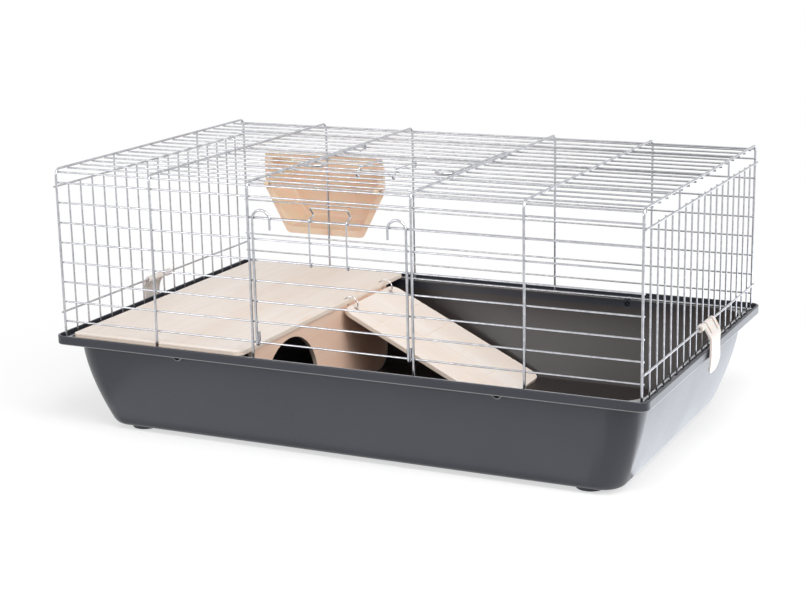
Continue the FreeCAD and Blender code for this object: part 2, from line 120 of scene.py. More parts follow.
class Graph:
    """A node tree with short calls that add and join its nodes."""

    def __init__(self, tree: bpy.types.NodeTree) -> None:
        """Keep the tree.

        Args:
            tree: The shader or geometry tree to fill.
        """
        self.tree = tree

    def put(self, socket: bpy.types.NodeSocket, value: object) -> None:
        """Set or link one input socket.

        Args:
            socket: The input socket.
            value: A plain value, or the output socket to link from.
        """
        if isinstance(value, bpy.types.NodeSocket):
            self.tree.links.new(value, socket)
        else:
            socket.default_value = value

    def add(self, kind: str, sockets: dict | None = None, **settings: object) -> bpy.types.Node:
        """Add a node.

        Args:
            kind: The node's type name.
            sockets: Values or links for its inputs, by name or index.
            settings: Properties of the node.

        Returns:
            The new node.
        """
        node = self.tree.nodes.new(kind)
        for key, value in settings.items():
            setattr(node, key, value)
        for key, value in (sockets or {}).items():
            self.put(node.inputs[key], value)
        return node

    def math(self, operation: str, *values: object) -> bpy.types.NodeSocket:
        """Add a Math node.

        Args:
            operation: The Math node's operation.
            values: Its inputs in order.

        Returns:
            The result socket.
        """
        return self.add("ShaderNodeMath", dict(enumerate(values)), operation=operation).outputs[0]

    def mix(self, factor: object, low: object, high: object) -> bpy.types.NodeSocket:
        """Mix two colours.

        Args:
            factor: Share of the second colour.
            low: First colour.
            high: Second colour.

        Returns:
            The mixed colour socket.
        """
        return self.add("ShaderNodeMix", {0: factor, 6: low, 7: high}, data_type="RGBA").outputs[2]

    def stretch(self, value: object, low: float, high: float, to_low: float = 0.0,
                to_high: float = 1.0) -> bpy.types.NodeSocket:
        """Map a value from one range to another, smoothly and clamped.

        Args:
            value: The value socket.
            low: Start of the range read.
            high: End of the range read.
            to_low: Start of the range given.
            to_high: End of the range given.

        Returns:
            The mapped value socket.
        """
        sockets = {0: value, 1: low, 2: high, 3: to_low, 4: to_high}
        return self.add("ShaderNodeMapRange", sockets, interpolation_type="SMOOTHSTEP").outputs[0]

    def noise(self, vector: object, scale: object, detail: float,
              roughness: float = 0.6) -> bpy.types.NodeSocket:
        """Add a noise texture.

        Args:
            vector: Coordinates socket.
            scale: Noise scale, as a value or a socket.
            detail: Noise detail.
            roughness: Weight of the finer steps.

        Returns:
            The noise value socket.
        """
        sockets = {"Vector": vector, "Scale": scale, "Detail": detail, "Roughness": roughness}
        return self.add("ShaderNodeTexNoise", sockets).outputs[0]

    def bump(self, height: object, strength: float, distance: float) -> bpy.types.NodeSocket:
        """Add a Bump node.

        Args:
            height: The height socket.
            strength: Strength of the relief.
            distance: Its depth in metres.

        Returns:
            The normal socket.
        """
        sockets = {"Height": height, "Strength": strength, "Distance": distance}
        return self.add("ShaderNodeBump", sockets).outputs[0]


def new_group(name: str, kind: str, inputs: dict,
              outputs: dict) -> tuple[Graph, bpy.types.Node, bpy.types.Node]:
    """Make a node group with named sockets.

    Args:
        name: Name of the group.
        kind: Tree type name.
        inputs: Socket type by input name.
        outputs: Socket type by output name.

    Returns:
        The group's graph, its input node and its output node.
    """
    tree = bpy.data.node_groups.new(name, kind)
    for label, socket in inputs.items():
        tree.interface.new_socket(label, in_out="INPUT", socket_type=socket)
    for label, socket in outputs.items():
        tree.interface.new_socket(label, in_out="OUTPUT", socket_type=socket)
    graph = Graph(tree)
    return graph, graph.add("NodeGroupInput"), graph.add("NodeGroupOutput")


FLOAT = "NodeSocketFloat"
INTEGER = "NodeSocketInt"
COLOUR = "NodeSocketColor"
VECTOR = "NodeSocketVector"
GEOMETRY = "NodeSocketGeometry"
MATERIAL = "NodeSocketMaterial"


def mottle_group() -> bpy.types.NodeTree:
    """Uneven colour, gloss and height over a surface, shared by plastic and metal.

    Returns:
        The shader node group.
    """
    name = "mottle"
    if name in bpy.data.node_groups:
        return bpy.data.node_groups[name]
    inputs = {"Vector": VECTOR, "Broad": FLOAT, "Fine": FLOAT, "Colour": COLOUR, "Shade": COLOUR}
    inputs |= {"Gloss Low": FLOAT, "Gloss High": FLOAT}
    outputs = {"Colour": COLOUR, "Roughness": FLOAT, "Height": FLOAT}
    graph, start, end = new_group(name, "ShaderNodeTree", inputs, outputs)
    at = start.outputs
    broad = graph.noise(at["Vector"], at["Broad"], detail=3.0, roughness=0.5)
    fine = graph.noise(at["Vector"], at["Fine"], detail=2.0, roughness=0.5)
    share = graph.stretch(broad, *NOISE_SPAN)
    graph.put(end.inputs["Colour"], graph.mix(share, at["Colour"], at["Shade"]))
    spread = graph.math("SUBTRACT", at["Gloss High"], at["Gloss Low"])
    mean = graph.math("MULTIPLY", graph.math("ADD", broad, fine), 0.5)
    rough = graph.math("MULTIPLY_ADD", graph.stretch(mean, *NOISE_SPAN), spread, at["Gloss Low"])
    graph.put(end.inputs["Roughness"], rough)
    graph.put(end.inputs["Height"], fine)
    return graph.tree


def dust_group() -> bpy.types.NodeTree:
    """A thin film of dust that lies on what faces up.

    Returns:
        The shader node group.
    """
    name = "dust_film"
    if name in bpy.data.node_groups:
        return bpy.data.node_groups[name]
    inputs = {"Vector": VECTOR, "Colour": COLOUR, "Dust": COLOUR, "Amount": FLOAT}
    graph, start, end = new_group(name, "ShaderNodeTree", inputs, {"Colour": COLOUR})
    normal = graph.add("ShaderNodeNewGeometry").outputs["Normal"]
    up = graph.add("ShaderNodeSeparateXYZ", {0: normal}).outputs["Z"]
    patch = graph.noise(start.outputs["Vector"], scale=60.0, detail=4.0)
    level = graph.stretch(up, low=0.5, high=1.0)
    patchy = graph.stretch(patch, low=0.35, high=0.75, to_low=0.2)
    share = graph.math("MULTIPLY", graph.math("MULTIPLY", level, patchy), start.outputs["Amount"])
    graph.put(end.inputs["Colour"], graph.mix(share, start.outputs["Colour"], start.outputs["Dust"]))
    return graph.tree


def new_material(name: str) -> tuple[bpy.types.Material, Graph, bpy.types.Node]:
    """Make a node material.

    Args:
        name: Name of the material.

    Returns:
        The material, its graph and its Principled node.
    """
    material = bpy.data.materials.new(name)
    material.use_nodes = True
    graph = Graph(material.node_tree)
    return material, graph, material.node_tree.nodes["Principled BSDF"]


@dataclass(frozen=True)
class UnevenFinish:
    """A surface whose colour, gloss and relief are slightly uneven."""

    name: str
    colour: Colour
    shade: Colour
    gloss_low: float
    gloss_high: float
    broad: float
    fine: float
    bump: float
    bump_depth: float

    def lay_skin(self, graph: Graph, shader: bpy.types.Node) -> bpy.types.NodeSocket:
        """Place the mottle group and join its gloss and relief to the shader.

        Args:
            graph: The material's graph.
            shader: Its Principled node.

        Returns:
            The mottled colour socket.
        """
        place = graph.add("ShaderNodeTexCoord").outputs["Object"]
        sockets = {"Vector": place, "Broad": self.broad, "Fine": self.fine, "Colour": self.colour}
        sockets |= {"Shade": self.shade, "Gloss Low": self.gloss_low, "Gloss High": self.gloss_high}
        mottle = graph.add("ShaderNodeGroup", sockets, node_tree=mottle_group()).outputs
        graph.put(shader.inputs["Roughness"], mottle["Roughness"])
        graph.put(shader.inputs["Normal"], graph.bump(mottle["Height"], self.bump, self.bump_depth))
        return mottle["Colour"]


@dataclass(frozen=True)
class MouldedFinish(UnevenFinish):
    """Moulded plastic; a mesh's marks attribute tells where painted highlight lines lie and where the inside
    takes painted warm bounce light.
    """

    gloss_low: float = 0.34
    gloss_high: float = 0.44
    broad: float = 9.0
    fine: float = 900.0
    bump: float = 0.03
    bump_depth: float = 0.0005
    dust: Colour = (0.5, 0.48, 0.46, 1.0)
    dust_amount: float = 0.0
    # Colour of the inside: painted warm bounce light, where the marks attribute's second value is one.
    inside: Colour = (0.0, 0.0, 0.0, 1.0)
    # Colour of the painted highlight lines along edges, where the marks attribute's first value is one.
    painted_highlight: Colour = (0.2, 0.2, 0.2, 1.0)
    ior: float = 1.5
    subsurface: float = 0.0
    subsurface_reach: float = 0.004

    def material(self) -> bpy.types.Material:
        """Build the plastic once.

        Returns:
            The material.
        """
        if self.name in bpy.data.materials:
            return bpy.data.materials[self.name]
        material, graph, shader = new_material(self.name)
        colour = self.lay_skin(graph, shader)
        place = graph.add("ShaderNodeTexCoord").outputs["Object"]
        sockets = {"Vector": place, "Colour": colour, "Dust": self.dust, "Amount": self.dust_amount}
        colour = graph.add("ShaderNodeGroup", sockets, node_tree=dust_group()).outputs["Colour"]
        # The marks attribute's first value paints highlight lines; its second paints warm bounce light on the
        # inside.
        marks = graph.add("ShaderNodeAttribute", attribute_name="marks").outputs["Vector"]
        painted_highlight_mask, inner, _ = graph.add("ShaderNodeSeparateXYZ", {0: marks}).outputs
        colour = graph.mix(inner, colour, self.inside)
        graph.put(shader.inputs["Base Color"], graph.mix(painted_highlight_mask, colour, self.painted_highlight))
        shader.inputs["IOR"].default_value = self.ior
        shader.inputs["Subsurface Weight"].default_value = self.subsurface
        shader.inputs["Subsurface Scale"].default_value = self.subsurface_reach
        return material


@dataclass(frozen=True)
class MetalFinish(UnevenFinish):
    """Plated steel wire."""

    broad: float = 160.0
    fine: float = 1500.0
    bump: float = 0.04
    bump_depth: float = 0.0002

    def material(self) -> bpy.types.Material:
        """Build the metal once.

        Returns:
            The material.
        """
        if self.name in bpy.data.materials:
            return bpy.data.materials[self.name]
        material, graph, shader = new_material(self.name)
        graph.put(shader.inputs["Base Color"], self.lay_skin(graph, shader))
        shader.inputs["Metallic"].default_value = 1.0
        return material


@dataclass(frozen=True)
class BirchFinish:
    """Birch plywood read from the board's own grain attribute: along, across and depth in metres."""

    name: str = "birch_plywood"
    pale: Colour = (0.86, 0.79, 0.735, 1.0)
    warm: Colour = (0.82, 0.71, 0.63, 1.0)
    line: Colour = (0.66, 0.47, 0.34, 1.0)
    end_pale: Colour = (0.88, 0.78, 0.69, 1.0)
    end_dark: Colour = (0.74, 0.58, 0.46, 1.0)
    thickness: float = 0.006
    layers: int = 5
    band_scale: Triple = (1.6, 16.0, 40.0)
    band_span: Point = (0.35, 0.68)
    fibre_scale: Triple = (9.0, 420.0, 40.0)
    fibre_span: Point = (0.5, 0.8)
    fleck_scale: Triple = (70.0, 1500.0, 40.0)
    fleck_span: Point = (0.66, 0.8)
    line_share: float = 0.35
    layer_span: Point = (0.06, 0.14)
    layer_low: float = 0.55
    face_span: Point = (0.0003, 0.0008)
    gloss_span: Point = (0.3, 0.8)
    gloss: Point = (0.5, 0.68)
    bump: float = 0.12
    bump_depth: float = 0.0004

    def material(self) -> bpy.types.Material:
        """Build the plywood once.

        Returns:
            The material.
        """
        if self.name in bpy.data.materials:
            return bpy.data.materials[self.name]
        material, graph, shader = new_material(self.name)
        grain = graph.add("ShaderNodeAttribute", attribute_name="grain").outputs["Vector"]
        depth = graph.add("ShaderNodeSeparateXYZ", {0: grain}).outputs["Z"]

        def figure(scale: Triple, detail: float) -> bpy.types.NodeSocket:
            """Noise drawn out along the fibres."""
            laid = graph.add("ShaderNodeMapping", {"Vector": grain, "Scale": scale}).outputs[0]
            return graph.noise(laid, 1.0, detail)

        band = figure(self.band_scale, detail=3.0)
        fibre = figure(self.fibre_scale, detail=4.0)
        fleck = figure(self.fleck_scale, detail=1.0)
        face = graph.mix(graph.stretch(band, *self.band_span), self.pale, self.warm)
        face = graph.mix(graph.stretch(fibre, *self.fibre_span, 0.0, self.line_share), face, self.line)
        face = graph.mix(graph.stretch(fleck, *self.fleck_span, 0.0, self.line_share), face, self.line)
        layer = graph.math("PINGPONG", graph.math("DIVIDE", depth, self.thickness), 1 / self.layers)
        streaky = graph.stretch(fibre, *NOISE_SPAN, self.layer_low)
        dark = graph.math("MULTIPLY", graph.stretch(layer, *self.layer_span), streaky)
        ends = graph.mix(dark, self.end_pale, self.end_dark)
        inside = graph.math("PINGPONG", depth, self.thickness / 2)
        share = graph.stretch(inside, *self.face_span)
        graph.put(shader.inputs["Base Color"], graph.mix(share, face, ends))
        graph.put(shader.inputs["Roughness"], graph.stretch(fibre, *self.gloss_span, *self.gloss))
        graph.put(shader.inputs["Normal"], graph.bump(fibre, self.bump, self.bump_depth))
        return material


ZINC = MetalFinish("zinc_plate", (0.55, 0.555, 0.58, 1.0), (0.42, 0.425, 0.455, 1.0), 0.14, 0.26)
CHROME = MetalFinish("ring_chrome", (0.7, 0.7, 0.72, 1.0), (0.6, 0.6, 0.63, 1.0), 0.1, 0.2)
# The tray's inside colour is painted warm bounce light.
TRAY_PLASTIC = MouldedFinish("tray_graphite", (0.021, 0.023, 0.031, 1.0), (0.025, 0.027, 0.036, 1.0),
                             dust_amount=0.01, inside=(0.034, 0.028, 0.027, 1.0), gloss_low=0.27,
                             gloss_high=0.35, ior=1.46)
CLIP_PLASTIC = MouldedFinish("clip_cream", (0.65, 0.605, 0.575, 1.0), (0.61, 0.56, 0.52, 1.0),
                             subsurface=0.25)
RACK_PLASTIC = MouldedFinish("rack_amber", (0.73, 0.595, 0.45, 1.0), (0.69, 0.53, 0.385, 1.0), gloss_low=0.25,
                             gloss_high=0.35, subsurface=0.5, subsurface_reach=0.01)
BIRCH = BirchFinish()
# A darker, warmer copy of the birch for the house wall: painted warm light and shade.
BIRCH_WARM_LIGHT_PAINTED = BirchFinish("warm_birch", (0.88, 0.64, 0.50, 1.0), (0.86, 0.58, 0.44, 1.0))


def to_frame(x: float, y: float, z: float) -> Vector:
    """A point of the cage in millimetres, moved to the frame in metres."""
    return Vector((x, y + SHIFT_Y, z)) * MM


def evaluated(obj: bpy.types.Object) -> bpy.types.Mesh:
    """The mesh of an object with its modifiers, as a plain copy."""
    graph = bpy.context.evaluated_depsgraph_get()
    return bpy.data.meshes.new_from_object(obj.evaluated_get(graph), depsgraph=graph)


def scratch_object(name: str, data: bpy.types.ID) -> bpy.types.Object:
    """Link an object to the scene."""
    obj = bpy.data.objects.new(name, data)
    bpy.context.scene.collection.objects.link(obj)
    return obj


def baked(obj: bpy.types.Object) -> bpy.types.Mesh:
    """Turn a scratch object into a plain mesh and remove it.

    Args:
        obj: The scratch object, a mesh with its modifiers.

    Returns:
        The finished mesh.
    """
    mesh = evaluated(obj)
    data = obj.data
    bpy.data.objects.remove(obj)
    bpy.data.meshes.remove(data)
    return mesh


def cleaned(mesh: bpy.types.Mesh, merge: float = MERGE) -> bpy.types.Mesh:
    """Merge doubles and point all faces outwards.

    Args:
        mesh: The mesh to clean in place.
        merge: Merging distance.

    Returns:
        The same mesh.
    """
    work = bmesh.new()
    work.from_mesh(mesh)
    bmesh.ops.remove_doubles(work, verts=work.verts, dist=merge)
    bmesh.ops.dissolve_degenerate(work, edges=work.edges, dist=merge)
    bmesh.ops.recalc_face_normals(work, faces=work.faces)
    work.to_mesh(mesh)
    work.free()
    return mesh


def joined(meshes: Iterable[bpy.types.Mesh]) -> bpy.types.Mesh:
    """Put several closed meshes into one.

    Args:
        meshes: The meshes, which are removed.

    Returns:
        The joined mesh.
    """
    work = bmesh.new()
    for mesh in meshes:
        work.from_mesh(mesh)
        bpy.data.meshes.remove(mesh)
    made = bpy.data.meshes.new("joined")
    work.to_mesh(made)
    work.free()
    return made


def cut_away(base: bpy.types.Mesh, tools: Sequence[bpy.types.Mesh]) -> bpy.types.Mesh:
    """Cut tools from a mesh.

    Args:
        base: The mesh to change, which is removed.
        tools: The closed tool meshes, which are removed.

    Returns:
        The new mesh.
    """
    for tool in tools:
        body = scratch_object("base", base)
        other = scratch_object("tool", tool)
        step = body.modifiers.new("step", "BOOLEAN")
        step.operation = "DIFFERENCE"
        step.solver = "EXACT"
        step.object = other
        base = baked(body)
        bpy.data.objects.remove(other)
        bpy.data.meshes.remove(tool)
    return cleaned(base)


def mesh_of(points: Sequence[Vector], faces: Sequence[Sequence[int]], edges: Sequence = ()) -> bpy.types.Mesh:
    """A mesh from its points and faces."""
    mesh = bpy.data.meshes.new("mesh")
    mesh.from_pydata([tuple(p) for p in points], [tuple(e) for e in edges], [tuple(f) for f in faces])
    return mesh


def shell(rings: Sequence[Sequence[Vector]], closed: bool = False) -> bpy.types.Mesh:
    """A skin through rings with as many points each.

    Args:
        rings: The rings in order.
        closed: True if the last ring joins the first; otherwise both ends get a flat cap.

    Returns:
        The mesh.
    """
    count = len(rings[0])
    points = [p for ring in rings for p in ring]
    faces: list[list[int]] = []
    for k in range(len(rings) if closed else len(rings) - 1):
        low = k * count
        high = (k + 1) % len(rings) * count
        for i in range(count):
            j = (i + 1) % count
            faces.append([low + i, low + j, high + j, high + i])
    if not closed:
        faces.append(list(range(count))[::-1])
        faces.append(list(range(len(points) - count, len(points))))
    return cleaned(mesh_of(points, faces))


def arc(centre: Point, radius: float, start: float, end: float, steps: int) -> list[Point]:
    """Points of an arc, angles in degrees."""
    turns = [math.radians(start + (end - start) * k / steps) for k in range(steps + 1)]
    return [(centre[0] + radius * math.cos(t), centre[1] + radius * math.sin(t)) for t in turns]


def rounded(corners: Sequence[Point], radii: Sequence[float], steps: int = 8) -> list[Point]:
    """A closed outline whose corners are rounded.

    Args:
        corners: Corner points in order.
        radii: One radius for each corner.
        steps: Steps in each round.

    Returns:
        The outline's points.
    """
    outline: list[Point] = []
    for k, radius in enumerate(radii):
        here = Vector(corners[k])
        back = (Vector(corners[k - 1]) - here).normalized()
        ahead = (Vector(corners[(k + 1) % len(corners)]) - here).normalized()
        half = back.angle(ahead) / 2
        middle = here + (back + ahead).normalized() * (radius / math.sin(half))
        first = here + back * (radius / math.tan(half)) - middle
        last = here + ahead * (radius / math.tan(half)) - middle
        for i in range(steps + 1):
            share = i / steps
            outline.append(tuple(middle + first.slerp(last, share) * radius if radius else here))
    return outline


def plate(outlines: Sequence[Sequence[Point]], thickness: float, edge: float,
          steps: int = 3) -> bpy.types.Mesh:
    """A flat board with holes and softly rounded edges, lying on both sides of its own plane.

    Args:
        outlines: The outer outline and any holes, in millimetres; holes are convex.
        thickness: Thickness of the board.
        edge: Radius of its edges.
        steps: Steps in each rounded edge.

    Returns:
        The mesh, in millimetres.
    """
    turns = [math.pi / 2 * k / steps for k in range(steps + 1)]
    levels = [(edge * (1 - math.sin(t)), thickness / 2 - edge * (1 - math.cos(t))) for t in turns]
    levels += [(inset, -z) for inset, z in reversed(levels)]
    points: list[Vector] = []
    faces: list[list[int]] = []
    flat: list[Vector] = []
    loops: list[tuple[int, int]] = []
    caps: list[tuple[int, int]] = []
    owners: list[int] = []
    for number, outline in enumerate(outlines):
        line = [Vector(p) for k, p in enumerate(outline) if math.dist(p, outline[k - 1]) > SAME_POINT]
        area = sum(a.cross(b) for a, b in zip(line, line[1:] + line[:1]))
        if (area > 0) == (number > 0):
            line.reverse()
        count = len(line)
        runs = [(line[(k + 1) % count] - line[k]).normalized() for k in range(count)]
        inward = []
        for k in range(count):
            left, right = runs[k - 1].orthogonal(), runs[k].orthogonal()
            inward.append((left + right) / (1 + left.dot(right)))
        first = len(points)
        for inset, z in levels:
            points += [(p + way * inset).to_3d() + Vector((0, 0, z)) for p, way in zip(line, inward)]
        for row in range(len(levels) - 1):
            for k in range(count):
                low = first + row * count
                j = (k + 1) % count
                faces.append([low + k, low + count + k, low + count + j, low + j])
        loops += [(len(flat) + k, len(flat) + (k + 1) % count) for k in range(count)]
        flat += [p + way * edge for p, way in zip(line, inward)]
        caps += [(first + k, len(points) - count + k) for k in range(count)]
        owners += [number] * count
    _, _, triangles, origins, _, _ = delaunay_2d_cdt(flat, loops, [], FILL_INSIDE, MERGE)
    for corners in triangles:
        own = [origins[k][0] for k in corners]
        if owners[own[0]] and len({owners[k] for k in own}) == 1:
            continue
        faces.append([caps[k][0] for k in own])
        faces.append([caps[k][1] for k in reversed(own)])
    return cleaned(mesh_of(points, faces))


def box(low: Sequence[float], high: Sequence[float]) -> bpy.types.Mesh:
    """A closed box between two corners.

    Args:
        low: The corner with the least values.
        high: The corner with the greatest values.

    Returns:
        The box.
    """
    work = bmesh.new()
    bmesh.ops.create_cube(work, size=1.0)
    for vert in work.verts:
        vert.co = Vector(high[i] if vert.co[i] > 0 else low[i] for i in range(3))
    mesh = bpy.data.meshes.new("box")
    work.to_mesh(mesh)
    work.free()
    return mesh


def turned(profile: Sequence[Point], place: Matrix, steps: int = 32) -> bpy.types.Mesh:
    """A closed profile of radius and height turned round an axis.

    Args:
        profile: Points from the axis out and back to it, as radius and height.
        place: Where the axis stands; its Z is the axis.
        steps: Steps in the turn.

    Returns:
        The mesh.
    """
    rings = []
    for radius, height in profile:
        ring = arc((0.0, 0.0), max(radius, AXIS_GAP), 0.0, 360.0 - 360.0 / steps, steps - 1)
        rings.append([place @ Vector((x, y, height)) for x, y in ring])
    return shell(rings)


def softened(mesh: bpy.types.Mesh, edge: float = 0.0, segments: int = 2) -> bpy.types.Mesh:
    """Round the sharp edges and set normals that follow the large faces.

    Args:
        mesh: The mesh, which is removed.
        edge: Edge radius, or nothing.
        segments: Steps in each rounded edge.

    Returns:
        The new mesh.
    """
    obj = scratch_object("soft", mesh)
    if edge:
        bevel = obj.modifiers.new("edges", "BEVEL")
        bevel.width = edge
        bevel.segments = segments
        bevel.limit_method = "ANGLE"
        bevel.angle_limit = SHARP
    mesh = baked(obj)
    mesh.shade_smooth()
    mesh.set_sharp_from_angle(angle=SHARP)
    obj = scratch_object("soft", mesh)
    weighted = obj.modifiers.new("normals", "WEIGHTED_NORMAL")
    weighted.keep_sharp = True
    return baked(obj)


@dataclass
class Piece:
    """One finished piece of the visual model and the nodes it stands for."""

    name: str
    body: Body
    slot: Slot
    nodes: tuple[str, ...] = ()

    def place(self, mesh: bpy.types.Mesh, material: bpy.types.Material) -> None:
        """Put the mesh into the scene, dress it and tie it to its body.

        Args:
            mesh: The finished mesh, in the frame.
            material: Its material.
        """
        mesh.name = self.name
        mesh.materials.clear()
        mesh.materials.append(material)
        obj = scratch_object(self.name, mesh)
        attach(obj, self.body.value)
        if self.nodes:
            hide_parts(*self.nodes)
        mesh.calc_loop_triangles()
        LOG.info("%s: %d triangles on %s", self.name, len(mesh.loop_triangles), self.body.value)


def modifier_tree(name: str, inputs: dict) -> tuple[Graph, bpy.types.Node, bpy.types.Node]:
    """Make a geometry tree that takes a mesh, its own inputs and a material.

    Args:
        name: Name of the tree.
        inputs: Socket type by input name.

    Returns:
        The tree's graph, its input node and its output node.
    """
    sockets = {"Geometry": GEOMETRY, **inputs, "Material": MATERIAL}
    graph, start, end = new_group(name, "GeometryNodeTree", sockets, {"Geometry": GEOMETRY})
    graph.tree.is_modifier = True
    return graph, start, end


def close_tree(graph: Graph, made: bpy.types.NodeSocket, start: bpy.types.Node,
               end: bpy.types.Node) -> bpy.types.NodeTree:
    """End a geometry tree in real geometry with its material.

    Args:
        graph: The tree's graph.
        made: The geometry that it made.
        start: Its input node.
        end: Its output node.

    Returns:
        The tree.
    """
    real = graph.add("GeometryNodeRealizeInstances", {"Geometry": made})
    sockets = {"Geometry": real.outputs[0], "Material": start.outputs["Material"]}
    graph.put(end.inputs[0], graph.add("GeometryNodeSetMaterial", sockets).outputs[0])
    return graph.tree


def wire_tree() -> bpy.types.NodeTree:
    """Geometry nodes that draw a round wire along every path of a mesh.

    Returns:
        The tree.
    """
    inputs = {"Wire Radius": FLOAT, "Sides": INTEGER, "Bend Steps": INTEGER}
    graph, start, end = modifier_tree("wire_along_path", inputs)
    at = start.outputs
    path = graph.add("GeometryNodeMeshToCurve", {"Mesh": at["Geometry"]})
    bend = graph.add("GeometryNodeInputNamedAttribute", {"Name": "bend"}, data_type="FLOAT")
    sockets = {"Curve": path.outputs[0], "Count": at["Bend Steps"], "Radius": bend.outputs[0]}
    fillet = graph.add("GeometryNodeFilletCurve", sockets | {"Limit Radius": True}, mode="POLY")
    sockets = {"Resolution": at["Sides"], "Radius": at["Wire Radius"]}
    circle = graph.add("GeometryNodeCurvePrimitiveCircle", sockets)
    sockets = {"Curve": fillet.outputs[0], "Profile Curve": circle.outputs[0], "Fill Caps": True}
    tube = graph.add("GeometryNodeCurveToMesh", sockets)
    return close_tree(graph, tube.outputs[0], start, end)


def weld_tree() -> bpy.types.NodeTree:
    """Geometry nodes that set a flattened weld spot on every point, facing its own direction.

    Returns:
        The tree.
    """
    inputs = {"Spot Radius": FLOAT, "Flatness": FLOAT, "Segments": INTEGER, "Rings": INTEGER}
    graph, start, end = modifier_tree("weld_spots", inputs)
    at = start.outputs
    points = graph.add("GeometryNodeMeshToPoints", {"Mesh": at["Geometry"]})
    sockets = {"Segments": at["Segments"], "Rings": at["Rings"], "Radius": at["Spot Radius"]}
    blob = graph.add("GeometryNodeMeshUVSphere", sockets)
    facing = graph.add("GeometryNodeInputNamedAttribute", {"Name": "facing"}, data_type="FLOAT_VECTOR")
    turn = graph.add("FunctionNodeAlignRotationToVector", {"Vector": facing.outputs[0]}, axis="Z")
    flat = graph.add("ShaderNodeCombineXYZ", {"X": 1.0, "Y": 1.0, "Z": at["Flatness"]})
    sockets = {"Points": points.outputs[0], "Instance": blob.outputs["Mesh"]}
    sockets |= {"Rotation": turn.outputs[0], "Scale": flat.outputs[0]}
    spots = graph.add("GeometryNodeInstanceOnPoints", sockets)
    return close_tree(graph, spots.outputs[0], start, end)


def grown(mesh: bpy.types.Mesh, tree: bpy.types.NodeTree, values: dict) -> bpy.types.Mesh:
    """Run a geometry tree on a mesh.

    Args:
        mesh: The source mesh, which is removed.
        tree: The geometry tree.
        values: Its inputs by name.

    Returns:
        The plain result.
    """
    obj = scratch_object("grown", mesh)
    step = obj.modifiers.new("grow", "NODES")
    step.node_group = tree
    for item in tree.interface.items_tree:
        if item.in_out == "INPUT" and item.name in values:
            step[item.identifier] = values[item.name]
    return baked(obj)


@dataclass
class Wire:
    """One wire: the corners of its path in millimetres and the bend at each inner corner."""

    corners: list[Vector]
    bends: list[float] = field(default_factory=list)


@dataclass
class WireShop:
    """Draws wires and weld spots with the shared geometry trees."""

    sides: int = 12
    bend_steps: int = 9
    spot_radius: float = 1.15
    spot_flatness: float = 0.75
    spot_segments: int = 8
    spot_rings: int = 5

    def __post_init__(self) -> None:
        """Make the trees."""
        self.paths = wire_tree()
        self.spots = weld_tree()

    def wires(self, node: str, body: Body, wires: Sequence[Wire], radius: float) -> None:
        """Draw the wires of one node and put them in its place.

        Args:
            node: The node that the piece stands for.
            body: The body it rides on.
            wires: The wires, all of one thickness.
            radius: Wire radius in millimetres.
        """
        points: list[Vector] = []
        edges: list[tuple[int, int]] = []
        bends: list[float] = []
        for wire in wires:
            first = len(points)
            points += [to_frame(*corner) for corner in wire.corners]
            edges += [(k, k + 1) for k in range(first, len(points) - 1)]
            bends += [0.0, *wire.bends, 0.0] if wire.bends else [0.0] * len(wire.corners)
        mesh = mesh_of(points, [], edges)
        bend = mesh.attributes.new("bend", "FLOAT", "POINT")
        bend.data.foreach_set("value", [b * MM for b in bends])
        values = {"Wire Radius": radius * MM, "Sides": self.sides, "Bend Steps": self.bend_steps}
        mesh = grown(mesh, self.paths, values | {"Material": ZINC.material()})
        piece = Piece(node + "_zinc", body, Slot.WIRE, (node,))
        piece.place(softened(cleaned(mesh)), ZINC.material())

    def welds(self, name: str, body: Body, welds: Sequence[tuple[Vector, Vector]]) -> None:
        """Set weld spots and put them in place as one piece.

        Args:
            name: Name of the piece.
            body: The body it rides on.
            welds: Place in millimetres and facing direction of each spot.
        """
        mesh = mesh_of([to_frame(*at) for at, _ in welds], [])
        facing = mesh.attributes.new("facing", "FLOAT_VECTOR", "POINT")
        facing.data.foreach_set("vector", [c for _, way in welds for c in way])
        values = {"Spot Radius": self.spot_radius * MM, "Flatness": self.spot_flatness}
        values |= {"Segments": self.spot_segments, "Rings": self.spot_rings}
        mesh = grown(mesh, self.spots, values | {"Material": ZINC.material()})
        mesh.shade_smooth()
        Piece(name, body, Slot.WIRE).place(mesh, ZINC.material())


